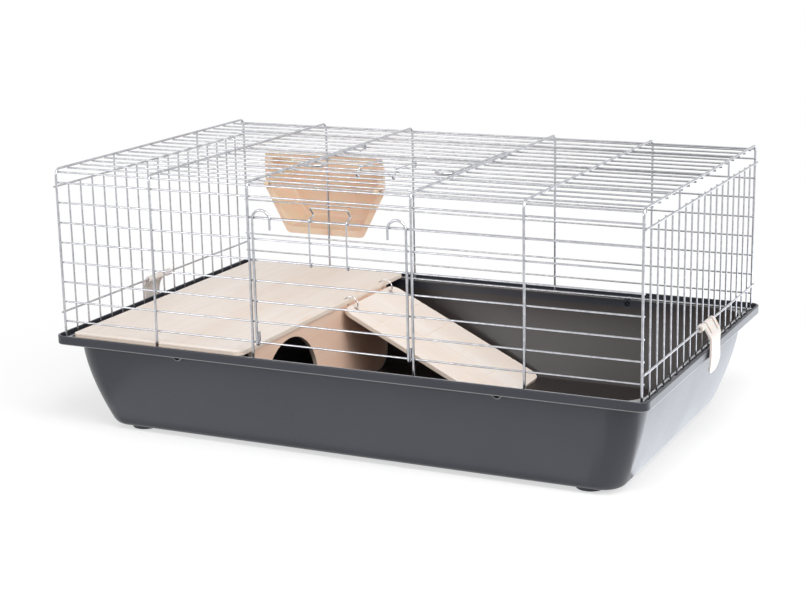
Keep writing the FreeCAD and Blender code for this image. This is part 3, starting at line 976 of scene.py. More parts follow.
@dataclass(frozen=True)
class Lattice:
    """Sizes of the welded wire top in millimetres: X along, Y to the back, Z up from the feet."""

    side_bay: float = 135.0
    door_bay: float = 210.0
    depth: float = 450.0
    end_bays: int = 18
    roof_bays: int = 17
    levels: int = 8
    pitch: float = 25.0
    top_gap: float = 17.0
    roof_z: float = 335.0
    ledge_z: float = 120.5
    rim_z: float = 127.0
    rail_low: float = 27.5
    rail_drop: float = 22.0
    tall_bars: tuple[int, int] = (5, 13)
    frame_r: float = 1.5
    long_r: float = 1.1
    rail_r: float = 1.25
    base_r: float = 1.25
    weld: float = 0.05
    bend: float = 8.0
    overrun: float = 1.5
    foot_gap: float = 0.3
    seat_gap: float = 0.1
    door_rows: int = 6
    roof_door_row: int = 5

    @property
    def half_x(self) -> float:
        """Half the length between the outer frames."""
        return 2 * self.side_bay + self.door_bay / 2

    @property
    def half_y(self) -> float:
        """Half the depth between the uprights."""
        return self.depth / 2

    @property
    def inset(self) -> float:
        """How far a long wire lies inside the frames."""
        return self.frame_r + self.long_r - self.weld

    @property
    def long_y(self) -> float:
        """Depth position of the long wires of the front and back."""
        return self.half_y - self.inset

    @property
    def roof_pitch(self) -> float:
        """Step of the long roof wires."""
        return self.depth / self.roof_bays

    @property
    def base_z(self) -> float:
        """Height of the base wires on the tray's ledge."""
        return self.ledge_z + self.base_r + self.seat_gap

    @property
    def rail_x(self) -> float:
        """Length position of the end rails."""
        return self.half_x + self.frame_r + self.rail_r - self.weld

    @property
    def bar_x(self) -> float:
        """Length position of the end bars."""
        return self.rail_x - self.rail_r - self.long_r + self.weld

    @property
    def frames(self) -> list[float]:
        """Length positions of the six bent frames."""
        right = [self.door_bay / 2, self.half_x - self.side_bay, self.half_x]
        return [-x for x in reversed(right)] + right

    def level(self, row: int) -> float:
        """Height of a long wire, row 1 at the top."""
        return self.roof_z - self.top_gap - self.pitch * (row - 1)

    def roof_place(self, row: int) -> tuple[float, float]:
        """Depth and height of a long roof wire; the outer two nest in the frame bends.

        Args:
            row: The wire's number, from the front.

        Returns:
            Depth and height.
        """
        if row in (0, self.roof_bays):
            side = -1 if row == 0 else 1
            nest = (self.bend - self.inset) * math.sqrt(0.5)
            return side * (self.half_y - self.bend + nest), self.roof_z - self.bend + nest
        return -self.half_y + self.roof_pitch * row, self.roof_z - self.inset

    def rail_heights(self) -> tuple[float, float]:
        """Heights of the lower and upper end rail."""
        return self.rim_z + self.rail_low, self.roof_z - self.rail_drop


@dataclass
class WireTop:
    """The welded wire top: bent frames, long wires, end bars, rails and base wires."""

    lattice: Lattice
    shop: WireShop

    def piece(self, node: str, wires: Sequence[Wire], radius: float) -> None:
        """Draw the wires of one node and put them in its place.

        Args:
            node: The node that the piece stands for.
            wires: Its wires.
            radius: Their radius.
        """
        self.shop.wires(node, Body.CAGE, wires, radius)

    def span(self, y: float, z: float, left: float, right: float) -> Wire:
        """A straight wire along the length."""
        return Wire([Vector((left, y, z)), Vector((right, y, z))])

    def build(self) -> None:
        """Build every fixed wire and the weld spots between them."""
        size = self.lattice
        low = size.ledge_z + size.foot_gap
        for number, x in enumerate(size.frames):
            corners = [Vector((x, -size.half_y, low)), Vector((x, -size.half_y, size.roof_z))]
            corners += [Vector((x, size.half_y, size.roof_z)), Vector((x, size.half_y, low))]
            self.piece(f"cross_frame_{number + 1}", [Wire(corners, [size.bend, size.bend])], size.frame_r)
        self.upright_sides()
        self.roof()
        self.base()
        for side in Side:
            self.end(side)
        self.shop.welds("cage_welds", Body.CAGE, self.welds())

    def upright_sides(self) -> None:
        """Build the long wires of the front and the back."""
        size = self.lattice
        full = size.half_x + size.overrun
        gate = size.door_bay / 2 - size.overrun
        kept = (1, size.levels - size.door_rows, size.levels)
        split = [row for row in range(1, size.levels) if row not in kept]
        sets = [("front_long_wires", -1, kept, -full, full), ("front_left_wires", -1, split, -full, -gate),
                ("front_right_wires", -1, split, gate, full),
                ("back_wires", 1, range(1, size.levels + 1), -full, full)]
        for node, side, rows, left, right in sets:
            wires = [self.span(side * size.long_y, size.level(row), left, right) for row in rows]
            self.piece(node, wires, size.long_r)

    def roof(self) -> None:
        """Build the long wires of the roof."""
        size = self.lattice
        full = size.half_x + size.overrun
        gate = size.door_bay / 2 - size.overrun
        cut = range(size.roof_door_row + 1, size.roof_door_row + size.door_rows)
        whole = [row for row in range(size.roof_bays + 1) if row not in cut]
        sets = [("roof_long_wires", whole, -full, full), ("roof_left_wires", cut, -full, -gate),
                ("roof_right_wires", cut, gate, full)]
        for node, rows, left, right in sets:
            self.piece(node, [self.span(*size.roof_place(row), left, right) for row in rows], size.long_r)

    def base(self) -> None:
        """Build the wires that lie on the tray's ledge."""
        size = self.lattice
        y = size.half_y - size.frame_r - size.base_r + size.weld
        x = size.bar_x - size.long_r - size.base_r + size.weld
        short = y - size.base_r - size.foot_gap
        full = size.half_x + size.overrun
        wires = [self.span(side * y, size.base_z, -full, full) for side in (-1, 1)]
        for side in (-1, 1):
            ends = [Vector((side * x, y, size.base_z)) for y in (-short, short)]
            wires.append(Wire(ends))
        self.piece("base_wires", wires, size.base_r)

    def end(self, side: Side) -> None:
        """Build the bars and rails of one end.

        Args:
            side: Which end.
        """
        size = self.lattice
        bars = []
        for k in range(1, size.end_bays):
            top = size.rail_heights()[1] + size.rail_r
            if k in size.tall_bars:
                top = size.roof_z - size.frame_r + size.weld
            y = -size.half_y + size.depth * k / size.end_bays
            x = side.value * size.bar_x
            bars.append(Wire([Vector((x, y, size.ledge_z + size.foot_gap)), Vector((x, y, top))]))
        word = side.name.lower()
        self.piece(word + "_end_bars", bars, size.long_r)
        reach = size.half_y + size.frame_r
        x = side.value * size.rail_x
        rails = [Wire([Vector((x, -reach, z)), Vector((x, reach, z))]) for z in size.rail_heights()]
        self.piece(word + "_end_rails", rails, size.rail_r)

    def welds(self) -> list[tuple[Vector, Vector]]:
        """Where wires of the fixed top are welded, and which way each spot faces.

        Returns:
            Place in millimetres and facing direction of each spot.
        """
        size = self.lattice
        spots: list[tuple[Vector, Vector]] = []
        face = size.half_y - size.frame_r
        for x in size.frames:
            for row in range(1, size.levels + 1):
                spots.append((Vector((x, face, size.level(row))), Vector((0, 1, 0))))
                spots.append((Vector((x, -face, size.level(row))), Vector((0, 1, 0))))
            for row in range(1, size.roof_bays):
                y = size.roof_place(row)[0]
                spots.append((Vector((x, y, size.roof_z - size.frame_r)), Vector((0, 0, 1))))
            for side in (-1, 1):
                spots.append((Vector((x, side * face, size.base_z)), Vector((0, 1, 0))))
        for side in (-1, 1):
            touch = side * (size.rail_x - size.rail_r)
            for k in range(1, size.end_bays):
                y = -size.half_y + size.depth * k / size.end_bays
                for z in size.rail_heights():
                    spots.append((Vector((touch, y, z)), Vector((1, 0, 0))))
            for z in size.rail_heights():
                for y in (-size.half_y, size.half_y):
                    spots.append((Vector((touch, y, z)), Vector((1, 0, 0))))
        return spots


@dataclass
class Door:
    """A wire door: two cane-shaped side wires, cross bars and a sprung latch wire."""

    lattice: Lattice
    shop: WireShop
    face: DoorFace
    hinge_gap: float = 0.5
    cane_gap: float = 6.0
    hook_tip: float = 12.0
    curl_r: float = 11.5
    curl_over: float = 10.0
    curl_end: float = 13.0
    overhang: float = 2.5
    latch_r: float = 1.0
    latch_x: float = 24.0
    latch_row: int = 4
    latch_bend: float = 2.2
    latch_hook: float = 1.2
    nose_in: float = 9.5
    nose_over: float = 5.8
    arm_over: float = 2.9
    press_over: float = 16.5
    press_out: float = 0.5

    def at(self, u: float, v: float, w: float) -> Vector:
        """A point of the door: u along, v from the hinge wire to the latch, w outwards.

        Args:
            u: Along the cage's length, from the door's middle.
            v: From the hinge wire towards the latch.
            w: Outwards from the hinge wire's face.

        Returns:
            The point in the cage's millimetres.
        """
        size = self.lattice
        if self.face is DoorFace.FRONT:
            return Vector((u, -size.long_y - w, size.level(size.levels) + v))
        y, z = size.roof_place(size.roof_door_row + size.door_rows)
        return Vector((u, y - v, z + w))

    @property
    def spacing(self) -> float:
        """Step of the door's cross bars."""
        return self.lattice.pitch if self.face is DoorFace.FRONT else self.lattice.roof_pitch

    def build(self) -> None:
        """Build the door's wires, its weld spots and its latch."""
        size = self.lattice
        word = self.face.value
        body = Body(word + "_door")
        length = size.door_rows * self.spacing
        out = size.long_r + size.frame_r + self.hinge_gap
        bar_out = out - size.inset
        cane_x = size.door_bay / 2 - self.cane_gap
        inner = cane_x - 2 * self.curl_r
        top = length + self.curl_over
        for side in Side:
            s = side.value
            corners = [self.at(s * cane_x, self.hook_tip, -out), self.at(s * cane_x, -out, -out)]
            corners += [self.at(s * cane_x, -out, out), self.at(s * cane_x, top, out)]
            corners += [self.at(s * inner, top, out), self.at(s * inner, length - self.curl_end, out)]
            node = f"{word}_door_{side.name.lower()}_side"
            cane = Wire(corners, [out, out, self.curl_r, self.curl_r])
            self.shop.wires(node, body, [cane], size.frame_r)
        reach = cane_x + self.overhang
        rows = range(1, size.door_rows)
        bars = [Wire([self.at(-reach, k * self.spacing, bar_out), self.at(reach, k * self.spacing, bar_out)])
                for k in rows]
        self.shop.wires(word + "_door_bars", body, bars, size.long_r)
        away = self.at(0, 0, 1) - self.at(0, 0, 0)
        low = out - size.frame_r
        spots = [(self.at(s * cane_x, k * self.spacing, low), away) for k in rows for s in (-1, 1)]
        self.shop.welds(word + "_door_welds", body, spots)
        self.latch(bar_out, length)

    def latch(self, bar_out: float, length: float) -> None:
        """Build the bent latch wire.

        Args:
            bar_out: How far out the cross bars lie.
            length: Distance from the hinge wire to the closing wire.
        """
        turn = self.lattice.long_r + self.latch_r + self.hinge_gap
        pivot = self.latch_row * self.spacing
        out = bar_out + turn
        under = bar_out - turn
        side = [(pivot + self.latch_hook, under), (pivot - turn, under), (pivot - turn, out)]
        side += [(length + self.arm_over, out), (length + self.nose_over, -self.nose_in)]
        side += [(length + self.press_over, self.press_out)]
        corners = [self.at(-self.latch_x, v, w) for v, w in side]
        corners += [self.at(self.latch_x, v, w) for v, w in reversed(side)]
        bends = [turn, turn, self.latch_bend, self.latch_bend, self.latch_bend]
        node = self.face.value + "_latch"
        self.shop.wires(node, Body(node), [Wire(corners, bends + bends[::-1])], self.latch_r)


@dataclass
class Tray:
    """The moulded tray: bowed tub, ledge for the wires, raised rim, bosses and feet."""

    rim_x: float = 385.0
    rim_y: float = 238.0
    rim_corner: float = 14.0
    rim_edge: float = 3.0
    rim_round: float = 1.2
    rim_round_steps: int = 5
    inner_round: float = 0.9
    inner_round_steps: int = 4
    rim_z: float = 127.0
    lip_z: float = 116.0
    lip_chamfer: float = 0.4
    lip_round: float = 0.8
    lip_middle: float = 0.25
    # Height above the lip where its painted highlight line fades out.
    lip_highlight_fade: float = 1.4
    ledge_z: float = 120.5
    ledge_corner: float = 0.6
    ledge_round: float = 1.2
    ledge_middle: float = 0.35
    wall: float = 2.5
    wall_inset: float = 14.0
    flare_x: float = 32.0
    flare_y: float = 28.0
    flare_power: float = 1.55
    corner_top: float = 40.0
    corner_bottom: float = 26.0
    bottom_round: float = 10.0
    bottom_steps: int = 6
    foot_height: float = 5.0
    foot_radius: float = 17.0
    foot_round: float = 1.4
    foot_middle: float = 0.4
    foot_sink: float = 1.0
    foot_steps: int = 40
    foot_inset_x: float = 40.0
    foot_inset_y: float = 24.0
    wall_share: float = 0.94
    wall_steps: int = 20
    corner_steps: int = 14
    boss_radius: float = 6.0
    boss_length: float = 9.6
    boss_bore: float = 4.2
    boss_chamfer: float = 0.5
    lobe_radius: float = 3.4
    lobe_bore: float = 1.7
    lobe_gap: float = 2.0
    bore_depth: float = 5.0
    bore_chamfer: float = 0.4
    front_boss_x: float = 209.0
    end_boss_y: float = 110.0
    recess_drop: float = 2.2
    recess_radius: float = 3.6
    recess_start: float = -3.0
    recess_depth: float = 3.6
    recess_steps: int = 28
    pin_radius: float = 1.6
    pin_start: float = 0.1
    pin_sink: float = 0.3
    # How far along and across a boss's rim its painted highlight reaches.
    highlight_along: float = 0.3
    highlight_across: float = 0.6

    def ring(self, reach_x: float, reach_y: float, radius: float, z: float) -> list[Vector]:
        """A rounded rectangle at one height.

        Args:
            reach_x: Half its length.
            reach_y: Half its depth.
            radius: Radius of its corners.
            z: Its height.

        Returns:
            Its points in the frame.
        """
        ring: list[Vector] = []
        for quarter, (sx, sy) in enumerate(((1, 1), (-1, 1), (-1, -1), (1, -1))):
            centre = (sx * (reach_x - radius), sy * (reach_y - radius))
            turn = 90.0 * quarter
            for x, y in arc(centre, radius, turn, turn + 90.0, self.corner_steps):
                ring.append(to_frame(x, y, z))
        return ring

    def at_rim(self, inset: float, z: float) -> list[Vector]:
        """A ring of the rim, drawn in by an inset."""
        return self.ring(self.rim_x - inset, self.rim_y - inset, self.rim_corner - inset, z)

    def tub_rings(self, inset: float, top: float) -> list[list[Vector]]:
        """Rings of the tub's wall from its top edge to its flat bottom.

        Args:
            inset: How far the skin is drawn in; nothing for the outer skin.
            top: Height of the first ring.

        Returns:
            The rings from the top down.
        """
        low = self.foot_height + inset
        wide = self.rim_x - self.wall_inset
        deep = self.rim_y - self.wall_inset
        rings = []
        for k in range(self.wall_steps + 1):
            share = self.wall_share * k / self.wall_steps
            bow = share ** self.flare_power
            z = top - share * (top - low)
            radius = self.corner_top + (self.corner_bottom - self.corner_top) * share - inset
            reach_x = wide - self.flare_x * bow - inset
            reach_y = deep - self.flare_y * bow - inset
            rings.append(self.ring(reach_x, reach_y, radius, z))
        lean = math.atan2(self.flare_x * (1 - bow), z - low)
        turn_r = self.bottom_round - inset
        for k in range(self.bottom_steps + 1):
            turn = lean + (math.pi / 2 - lean) * k / self.bottom_steps
            height = low + turn_r * (1 - math.sin(turn))
            if height >= z:
                continue
            draw = inset + turn_r / math.tan(math.pi / 4 + lean / 2) - turn_r * math.cos(turn)
            rings.append(self.ring(wide - self.flare_x - draw, deep - self.flare_y - draw,
                                   self.corner_bottom - draw, height))
        return rings

    def inner_rings(self) -> list[list[Vector]]:
        """Rings of the tub's inner skin."""
        return self.tub_rings(self.wall, self.ledge_z - self.ledge_round)

    def lip_line(self) -> list[Point]:
        """The two points of the rim's profile that round the lip's outer edge."""
        middle = (self.lip_middle, self.lip_z + self.lip_middle)
        return [middle, (0.0, self.lip_z + self.lip_round)]

    def ledge_edge(self) -> list[list[Vector]]:
        """The two rings that round the ledge's inner edge.

        Returns:
            The rings, the ledge's own first.
        """
        wide = self.rim_x - self.wall_inset - self.wall
        deep = self.rim_y - self.wall_inset - self.wall
        radius = self.corner_top - self.wall
        rings = []
        for grow, drop in ((self.ledge_round, 0.0), (self.ledge_middle, self.ledge_middle)):
            rings.append(self.ring(wide + grow, deep + grow, radius + grow, self.ledge_z - drop))
        return rings

    def skin(self) -> bpy.types.Mesh:
        """The closed skin of tub, ledge and rim.

        Returns:
            The skin.
        """
        under = self.ledge_z - self.wall
        edge = self.rim_edge
        cut = self.lip_chamfer
        profile = [(edge, under), (edge, self.lip_z + cut), (edge - cut, self.lip_z)]
        profile += [(self.lip_round, self.lip_z), *self.lip_line(), (0.0, self.lip_z + self.lip_highlight_fade)]
        soft = self.rim_round
        profile += arc((soft, self.rim_z - soft), soft, 180.0, 90.0, self.rim_round_steps)
        soft = self.inner_round
        profile += arc((edge - soft, self.rim_z - soft), soft, 90.0, 0.0, self.inner_round_steps)
        profile += [(edge, self.ledge_z + self.ledge_corner), (edge + self.ledge_corner, self.ledge_z)]
        rim = [self.at_rim(inset, z) for inset, z in profile]
        outer = self.tub_rings(0.0, under)[::-1]
        return shell(outer + rim + self.ledge_edge() + self.inner_rings())

    def facing(self, at: Vector, outward: Vector) -> Matrix:
        """From millimetres round a direction, at a place of the cage, to the frame."""
        turn = outward.to_track_quat("Z", "Y").to_matrix().to_4x4()
        return Matrix.Translation(to_frame(*at)) @ turn @ Matrix.Scale(MM, 4)

    def boss(self, at: Vector, outward: Vector) -> list[bpy.types.Mesh]:
        """A hollow boss with a smaller bored lobe beside it and a pin in the recess behind it.

        Args:
            at: Where it leaves the wall, in millimetres.
            outward: Its direction.

        Returns:
            The three meshes.
        """
        made = []
        beside = Vector((0, 0, 1)).cross(outward)
        end = self.boss_length
        cut = self.boss_chamfer
        for radius, bore, step in ((self.boss_radius, self.boss_bore, 0.0),
                                   (self.lobe_radius, self.lobe_bore, self.boss_radius + self.lobe_gap)):
            profile = [(0.0, 0.0), (radius, 0.0), (radius, end - cut), (radius - cut, end)]
            profile += [(bore + self.bore_chamfer, end), (bore, end - self.bore_chamfer)]
            profile += [(bore, end - self.bore_depth), (0.0, end - self.bore_depth)]
            made.append(turned(profile, self.facing(at - beside * step, outward)))
        recess = self.plug(at, outward, self.recess_radius, self.recess_start)
        made[0] = cut_away(made[0], [recess])
        made.append(self.plug(at, outward, self.pin_radius, self.pin_start, self.pin_sink))
        return made

    def plug(self, at: Vector, outward: Vector, radius: float, start: float,
             more: float = 0.0) -> bpy.types.Mesh:
        """A round plug in the place of the blind recess behind a boss.

        Args:
            at: Where the boss leaves the wall, in millimetres.
            outward: The boss's direction.
            radius: The plug's radius.
            start: Where it begins, along the direction.
            more: How much deeper than the recess it ends.

        Returns:
            The plug.
        """
        place = self.facing(at - Vector((0, 0, self.recess_drop)), outward)
        end = self.recess_depth + more
        return turned([(0.0, start), (radius, start), (radius, end), (0.0, end)], place, self.recess_steps)

    def mark(self, mesh: bpy.types.Mesh, bosses: Sequence[tuple[Vector, Vector]]) -> None:
        """Mark painted highlight lines on the edges of lip, ledge and bosses, and mark the inside for its
        painted warm bounce light.

        Args:
            mesh: The finished tray.
            bosses: Where each boss leaves the wall and its direction, in millimetres.
        """
        def key(point: Vector) -> tuple[float, ...]:
            """A point's rounded place."""
            return tuple(round(c, KEY_DIGITS) for c in point)

        # The lip's lower edge, the ledge's inner edge and the boss rims get painted highlight lines.
        rings = [self.at_rim(inset, z) for inset, z in self.lip_line()] + self.ledge_edge()
        painted_highlight_keys = {key(point) for ring in rings for point in ring}
        # The inner skin is marked for painted warm bounce light.
        bounce_lit_keys = {key(point) for ring in self.inner_rings() for point in ring}
        edge = self.boss_length - self.boss_chamfer / 2
        marks: list[float] = []
        for vert in mesh.vertices:
            mark = float(key(vert.co) in painted_highlight_keys)
            for at, outward in bosses:
                away = vert.co / MM - to_frame(*at) / MM
                along = away.dot(outward)
                if abs(along - edge) < self.highlight_along:
                    off = abs((away - outward * along).length - self.boss_radius)
                    mark = max(mark, float(off < self.highlight_across))
            marks += [mark, float(key(vert.co) in bounce_lit_keys), 0.0]
        mesh.attributes.new("marks", "FLOAT_VECTOR", "POINT").data.foreach_set("vector", marks)

    def foot(self, x: float, y: float) -> bpy.types.Mesh:
        """A low round foot that reaches into the tray's floor.

        Args:
            x: Its place along the length.
            y: Its place in depth.

        Returns:
            The foot.
        """
        wide = self.foot_radius
        soft = self.foot_round
        middle = self.foot_middle
        top = self.foot_height + self.foot_sink
        profile = [(0.0, 0.0), (wide - soft, 0.0), (wide - middle, middle)]
        profile += [(wide, soft), (wide, top), (0.0, top)]
        place = Matrix.Translation(to_frame(x, y, 0.0)) @ Matrix.Scale(MM, 4)
        return turned(profile, place, self.foot_steps)

    def build(self) -> None:
        """Build and dress the tray."""
        extras: list[bpy.types.Mesh] = []
        bosses: list[tuple[Vector, Vector]] = []
        wide = self.rim_x - self.wall_inset
        deep = self.rim_y - self.wall_inset
        for side in (-1, 1):
            for end in (-1, 1):
                at = Vector((end * self.front_boss_x, side * (deep - self.wall), self.lip_z))
                bosses.append((at, Vector((0, side, 0))))
                at = Vector((side * (wide - self.wall), end * self.end_boss_y, self.lip_z))
                bosses.append((at, Vector((side, 0, 0))))
                x = end * (wide - self.flare_x - self.foot_inset_x)
                y = side * (deep - self.flare_y - self.foot_inset_y)
                extras.append(self.foot(x, y))
        for at, outward in bosses:
            extras += self.boss(at, outward)
        cuts = joined([self.plug(*boss, self.recess_radius, self.recess_start) for boss in bosses])
        mesh = softened(joined([cut_away(self.skin(), [cuts]), *extras]))
        self.mark(mesh, bosses)
        Piece("tray_moulding", Body.CAGE, Slot.TRAY, ("tray",)).place(mesh, TRAY_PLASTIC.material())


@dataclass
class Clip:
    """A plastic clip that snaps round the lower end rail and catches under the tray's lip."""

    lattice: Lattice
    side: Side
    gap: float = 0.08
    thick: float = 2.6
    half: float = 22.0
    lean: float = 30.0
    curl_from: float = 230.0
    curl_steps: int = 16
    finger_z: float = -4.0
    waist: float = 17.6
    waist_z: float = -25.0
    tail: float = 19.5
    tail_z: float = -44.0
    tail_round: float = 12.0
    drop: float = 58.5
    tuck: float = 3.0
    tuck_length: float = 15.0
    bend: float = 14.0
    bend_steps: int = 6
    step: float = 1.6
    lip_x: float = 7.3
    clear: float = 1.75
    slit: float = 4.6
    slit_y: float = 12.5
    slit_z: float = -9.0
    side_columns: tuple[float, ...] = (0.8, 0.94, 1.0)
    knob_length: float = 10.0
    knob_r: float = 4.6
    knob_sink: float = 0.5
    knob_edge: float = 0.5
    knob_steps: int = 30
    bore_steps: int = 20
    mouth: float = 50.0
    mouth_turn: float = 17.0
    rim_to_lip: float = 38.5
    nose_reach: float = 1.6
    nose_gap: float = 1.4
    nose_slope: float = 0.5
    nose_root: float = 4.6
    nose_tip: float = 1.2
    nose_width: float = 14.4
    nose_edge: float = 0.25
    edge: float = 0.55
    edge_steps: int = 3
    merge: float = 1e-4

    def half_width(self, z: float) -> float:
        """Half the clip's width at a height below the rail.

        Args:
            z: The height, in millimetres from the rail.

        Returns:
            Half the width.
        """

        def ease(a: float, b: float, t: float) -> float:
            """Smooth step from a to b."""
            t = min(1.0, max(0.0, t))
            return a + (b - a) * t * t * (3 - 2 * t)

        width = ease(self.half, self.waist, (self.finger_z - z) / (self.finger_z - self.waist_z))
        width += ease(0.0, self.tail - self.waist, (self.waist_z - z) / (self.waist_z - self.tail_z))
        over = z + self.drop
        short = self.tail_round - over
        if short > 0:
            width += math.sqrt(max(0.0, self.tail_round ** 2 - short ** 2)) - self.tail_round
        return width

    @property
    def strip_x(self) -> float:
        """Where the strip's middle passes the tray's lip."""
        return self.lip_x + self.clear + self.thick / 2

    def line(self) -> list[Point]:
        """The strip's middle line in X and Z, from the curl's inner end to the tail.

        Returns:
            The line's points.
        """
        curl = self.lattice.rail_r + self.gap + self.thick / 2
        points = arc((0.0, 0.0), curl, self.curl_from, self.lean, self.curl_steps)
        out = self.strip_x
        leave = points[-1]
        shoulder = leave[1] - (out - leave[0]) / math.tan(math.radians(self.lean))
        corners = [leave, (out, shoulder), (out, self.tuck_length - self.drop), (out - self.tuck, -self.drop)]
        outline = rounded(corners, [0.0, self.bend, self.bend, 0.0], self.bend_steps)
        per_corner = self.bend_steps + 1
        points += [*outline[per_corner:3 * per_corner], corners[3]]
        dense: list[Point] = []
        for (x0, z0), (x1, z1) in zip(points, points[1:]):
            parts = max(1, round(math.dist((x0, z0), (x1, z1)) / self.step))
            dense += [(x0 + (x1 - x0) * k / parts, z0 + (z1 - z0) * k / parts) for k in range(parts)]
        return dense + [points[-1]]

    def strip(self) -> bpy.types.Mesh:
        """The bent strip with its two slits.

        Returns:
            The strip.
        """
        near = (self.slit_y - self.slit / 2) / self.half
        far = (self.slit_y + self.slit / 2) / self.half
        right = [near / 2, near, far, *self.side_columns]
        columns = [-c for c in reversed(right)] + [0.0] + right
        line = self.line()
        points, faces = [], []
        for x, z in line:
            points += [Vector((x, c * self.half_width(z), z)) for c in columns]
        count = len(columns)
        for row in range(len(line) - 1):
            for k in range(count - 1):
                cut = columns[k] in (-far, near) and line[row][1] > self.slit_z
                if not cut:
                    low = row * count + k
                    faces.append([low, low + 1, low + count + 1, low + count])
        obj = scratch_object("strip", mesh_of(points, faces))
        thick = obj.modifiers.new("thick", "SOLIDIFY")
        thick.thickness = self.thick
        thick.offset = 0.0
        return baked(obj)

    def build(self) -> None:
        """Build and dress the clip."""
        size = self.lattice
        start = self.mouth_turn - self.mouth
        end = 360.0 - self.mouth - self.mouth_turn
        ring = arc((0.0, 0.0), self.knob_r, start, end, self.knob_steps)
        ring += arc((0.0, 0.0), size.rail_r + self.gap, end, start, self.bore_steps)
        knob = plate([ring], self.knob_length, self.knob_edge)
        knob_y = self.knob_sink - self.half - self.knob_length / 2
        knob.transform(Matrix.Translation((0, knob_y, 0)) @ ALONG)
        out = self.strip_x
        tip = self.lip_x - self.nose_reach
        top = -self.rim_to_lip - self.nose_gap
        wedge = [(tip, top), (out, top + self.nose_slope)]
        wedge += [(out, top - self.nose_root), (tip, top - self.nose_tip)]
        nose = plate([wedge], self.nose_width, self.nose_edge)
        nose.transform(ALONG)
        mesh = softened(cleaned(self.strip(), self.merge), self.edge, self.edge_steps)
        mesh = joined([mesh, softened(knob), softened(nose)])
        s = self.side.value
        if self.side is Side.LEFT:
            mesh.transform(Matrix.Rotation(math.pi, 4, "Z"))
        at = to_frame(s * size.rail_x, s * size.depth / size.end_bays / 2, size.rim_z + size.rail_low)
        mesh.transform(Matrix.Translation(at) @ Matrix.Scale(MM, 4))
        mesh.shade_smooth()
        mesh.set_sharp_from_angle(angle=SHARP)
        node = self.side.name.lower() + "_clip"
        Piece(node + "_moulding", Body(node), Slot.CLIP, (node,)).place(mesh, CLIP_PLASTIC.material())


@dataclass
class Board:
    """A plywood board with the sizes that the boards share, in millimetres."""

    ply: float = 6.0
    edge: float = 0.45
    shelf_z: float = 123.2
    house_x: float = -130.0
    tenon_ys: tuple[float, float] = (-57.0, 100.0)
    tenon_half: float = 12.0
    tenon_gap: float = 0.3
    hinge: Triple = (-120.0, 108.0, 122.4)
    ring_r: float = 10.5
    ring_span: float = 52.0
    hole_r: float = 3.4
    hole_steps: int = 24

    @property
    def ring_ys(self) -> tuple[float, float]:
        """Depth positions of the two rings."""
        return self.hinge[1] - self.ring_span, self.hinge[1] + self.ring_span

    def hole(self, x: float, y: float) -> list[Point]:
        """The outline of a round hole for a ring."""
        return arc((x, y), self.hole_r, 0.0, 360.0 - 360.0 / self.hole_steps, self.hole_steps - 1)

    def dress(self, mesh: bpy.types.Mesh, piece: Piece, place: Matrix, along: int,
              finish: BirchFinish = BIRCH) -> None:
        """Write the grain attribute in the board's own axes, then put the board in place.

        Args:
            mesh: The board in millimetres, flat on both sides of its own plane.
            piece: The piece it becomes.
            place: From the board's axes to the cage, in millimetres.
            along: Axis that the face grain follows, 0 or 1.
            finish: The plywood it is made of.
        """
        mesh = softened(mesh)
        grain = mesh.attributes.new("grain", "FLOAT_VECTOR", "POINT")
        values: list[float] = []
        for vert in mesh.vertices:
            co = vert.co
            values += [co[along] * MM, co[1 - along] * MM, (co[2] + self.ply / 2) * MM]
        grain.data.foreach_set("vector", values)
        mesh.transform(Matrix.Translation((0, SHIFT_Y * MM, 0)) @ Matrix.Scale(MM, 4) @ place)
        piece.place(mesh, finish.material())


@dataclass
class Shelf(Board):
    """The plywood shelf on the base wires."""

    low: Point = (-364.0, -226.0)
    high: Point = (-122.0, 226.0)
    corner_left: float = 6.0
    corner_right: float = 12.0
    notch_x: float = -240.0
    notch_y: float = 225.0
    notch_r: float = 2.6
    notch_steps: int = 24

    def build(self) -> None:
        """Build and dress the shelf."""
        (x0, y0), (x1, y1) = self.low, self.high
        corners = [(x0, y0), (x1, y0), (x1, y1), (x0, y1)]
        outline = rounded(corners, [self.corner_left, self.corner_right, self.corner_right, self.corner_left])
        middle_z = self.shelf_z + self.ply / 2
        hole_x = self.hinge[0] - math.sqrt(self.ring_r ** 2 - (middle_z - self.hinge[2]) ** 2)
        holes = [self.hole(hole_x, y) for y in self.ring_ys]
        left = self.house_x - self.tenon_gap
        right = self.house_x + self.ply + self.tenon_gap
        half = self.tenon_half + self.tenon_gap
        for y in self.tenon_ys:
            holes.append([(left, y - half), (right, y - half), (right, y + half), (left, y + half)])
        mesh = plate([outline, *holes], self.ply, self.edge)
        tall = 2 * self.ply
        profile = [(0.0, 0.0), (self.notch_r, 0.0), (self.notch_r, tall), (0.0, tall)]
        places = [Matrix.Translation((self.notch_x, side * self.notch_y, -self.ply)) for side in (-1, 1)]
        tools = [turned(profile, place, self.notch_steps) for place in places]
        mesh = cut_away(mesh, tools)
        piece = Piece("platform_board", Body.CAGE, Slot.PLY, ("platform",))
        self.dress(mesh, piece, Matrix.Translation((0, 0, middle_z)), 1)


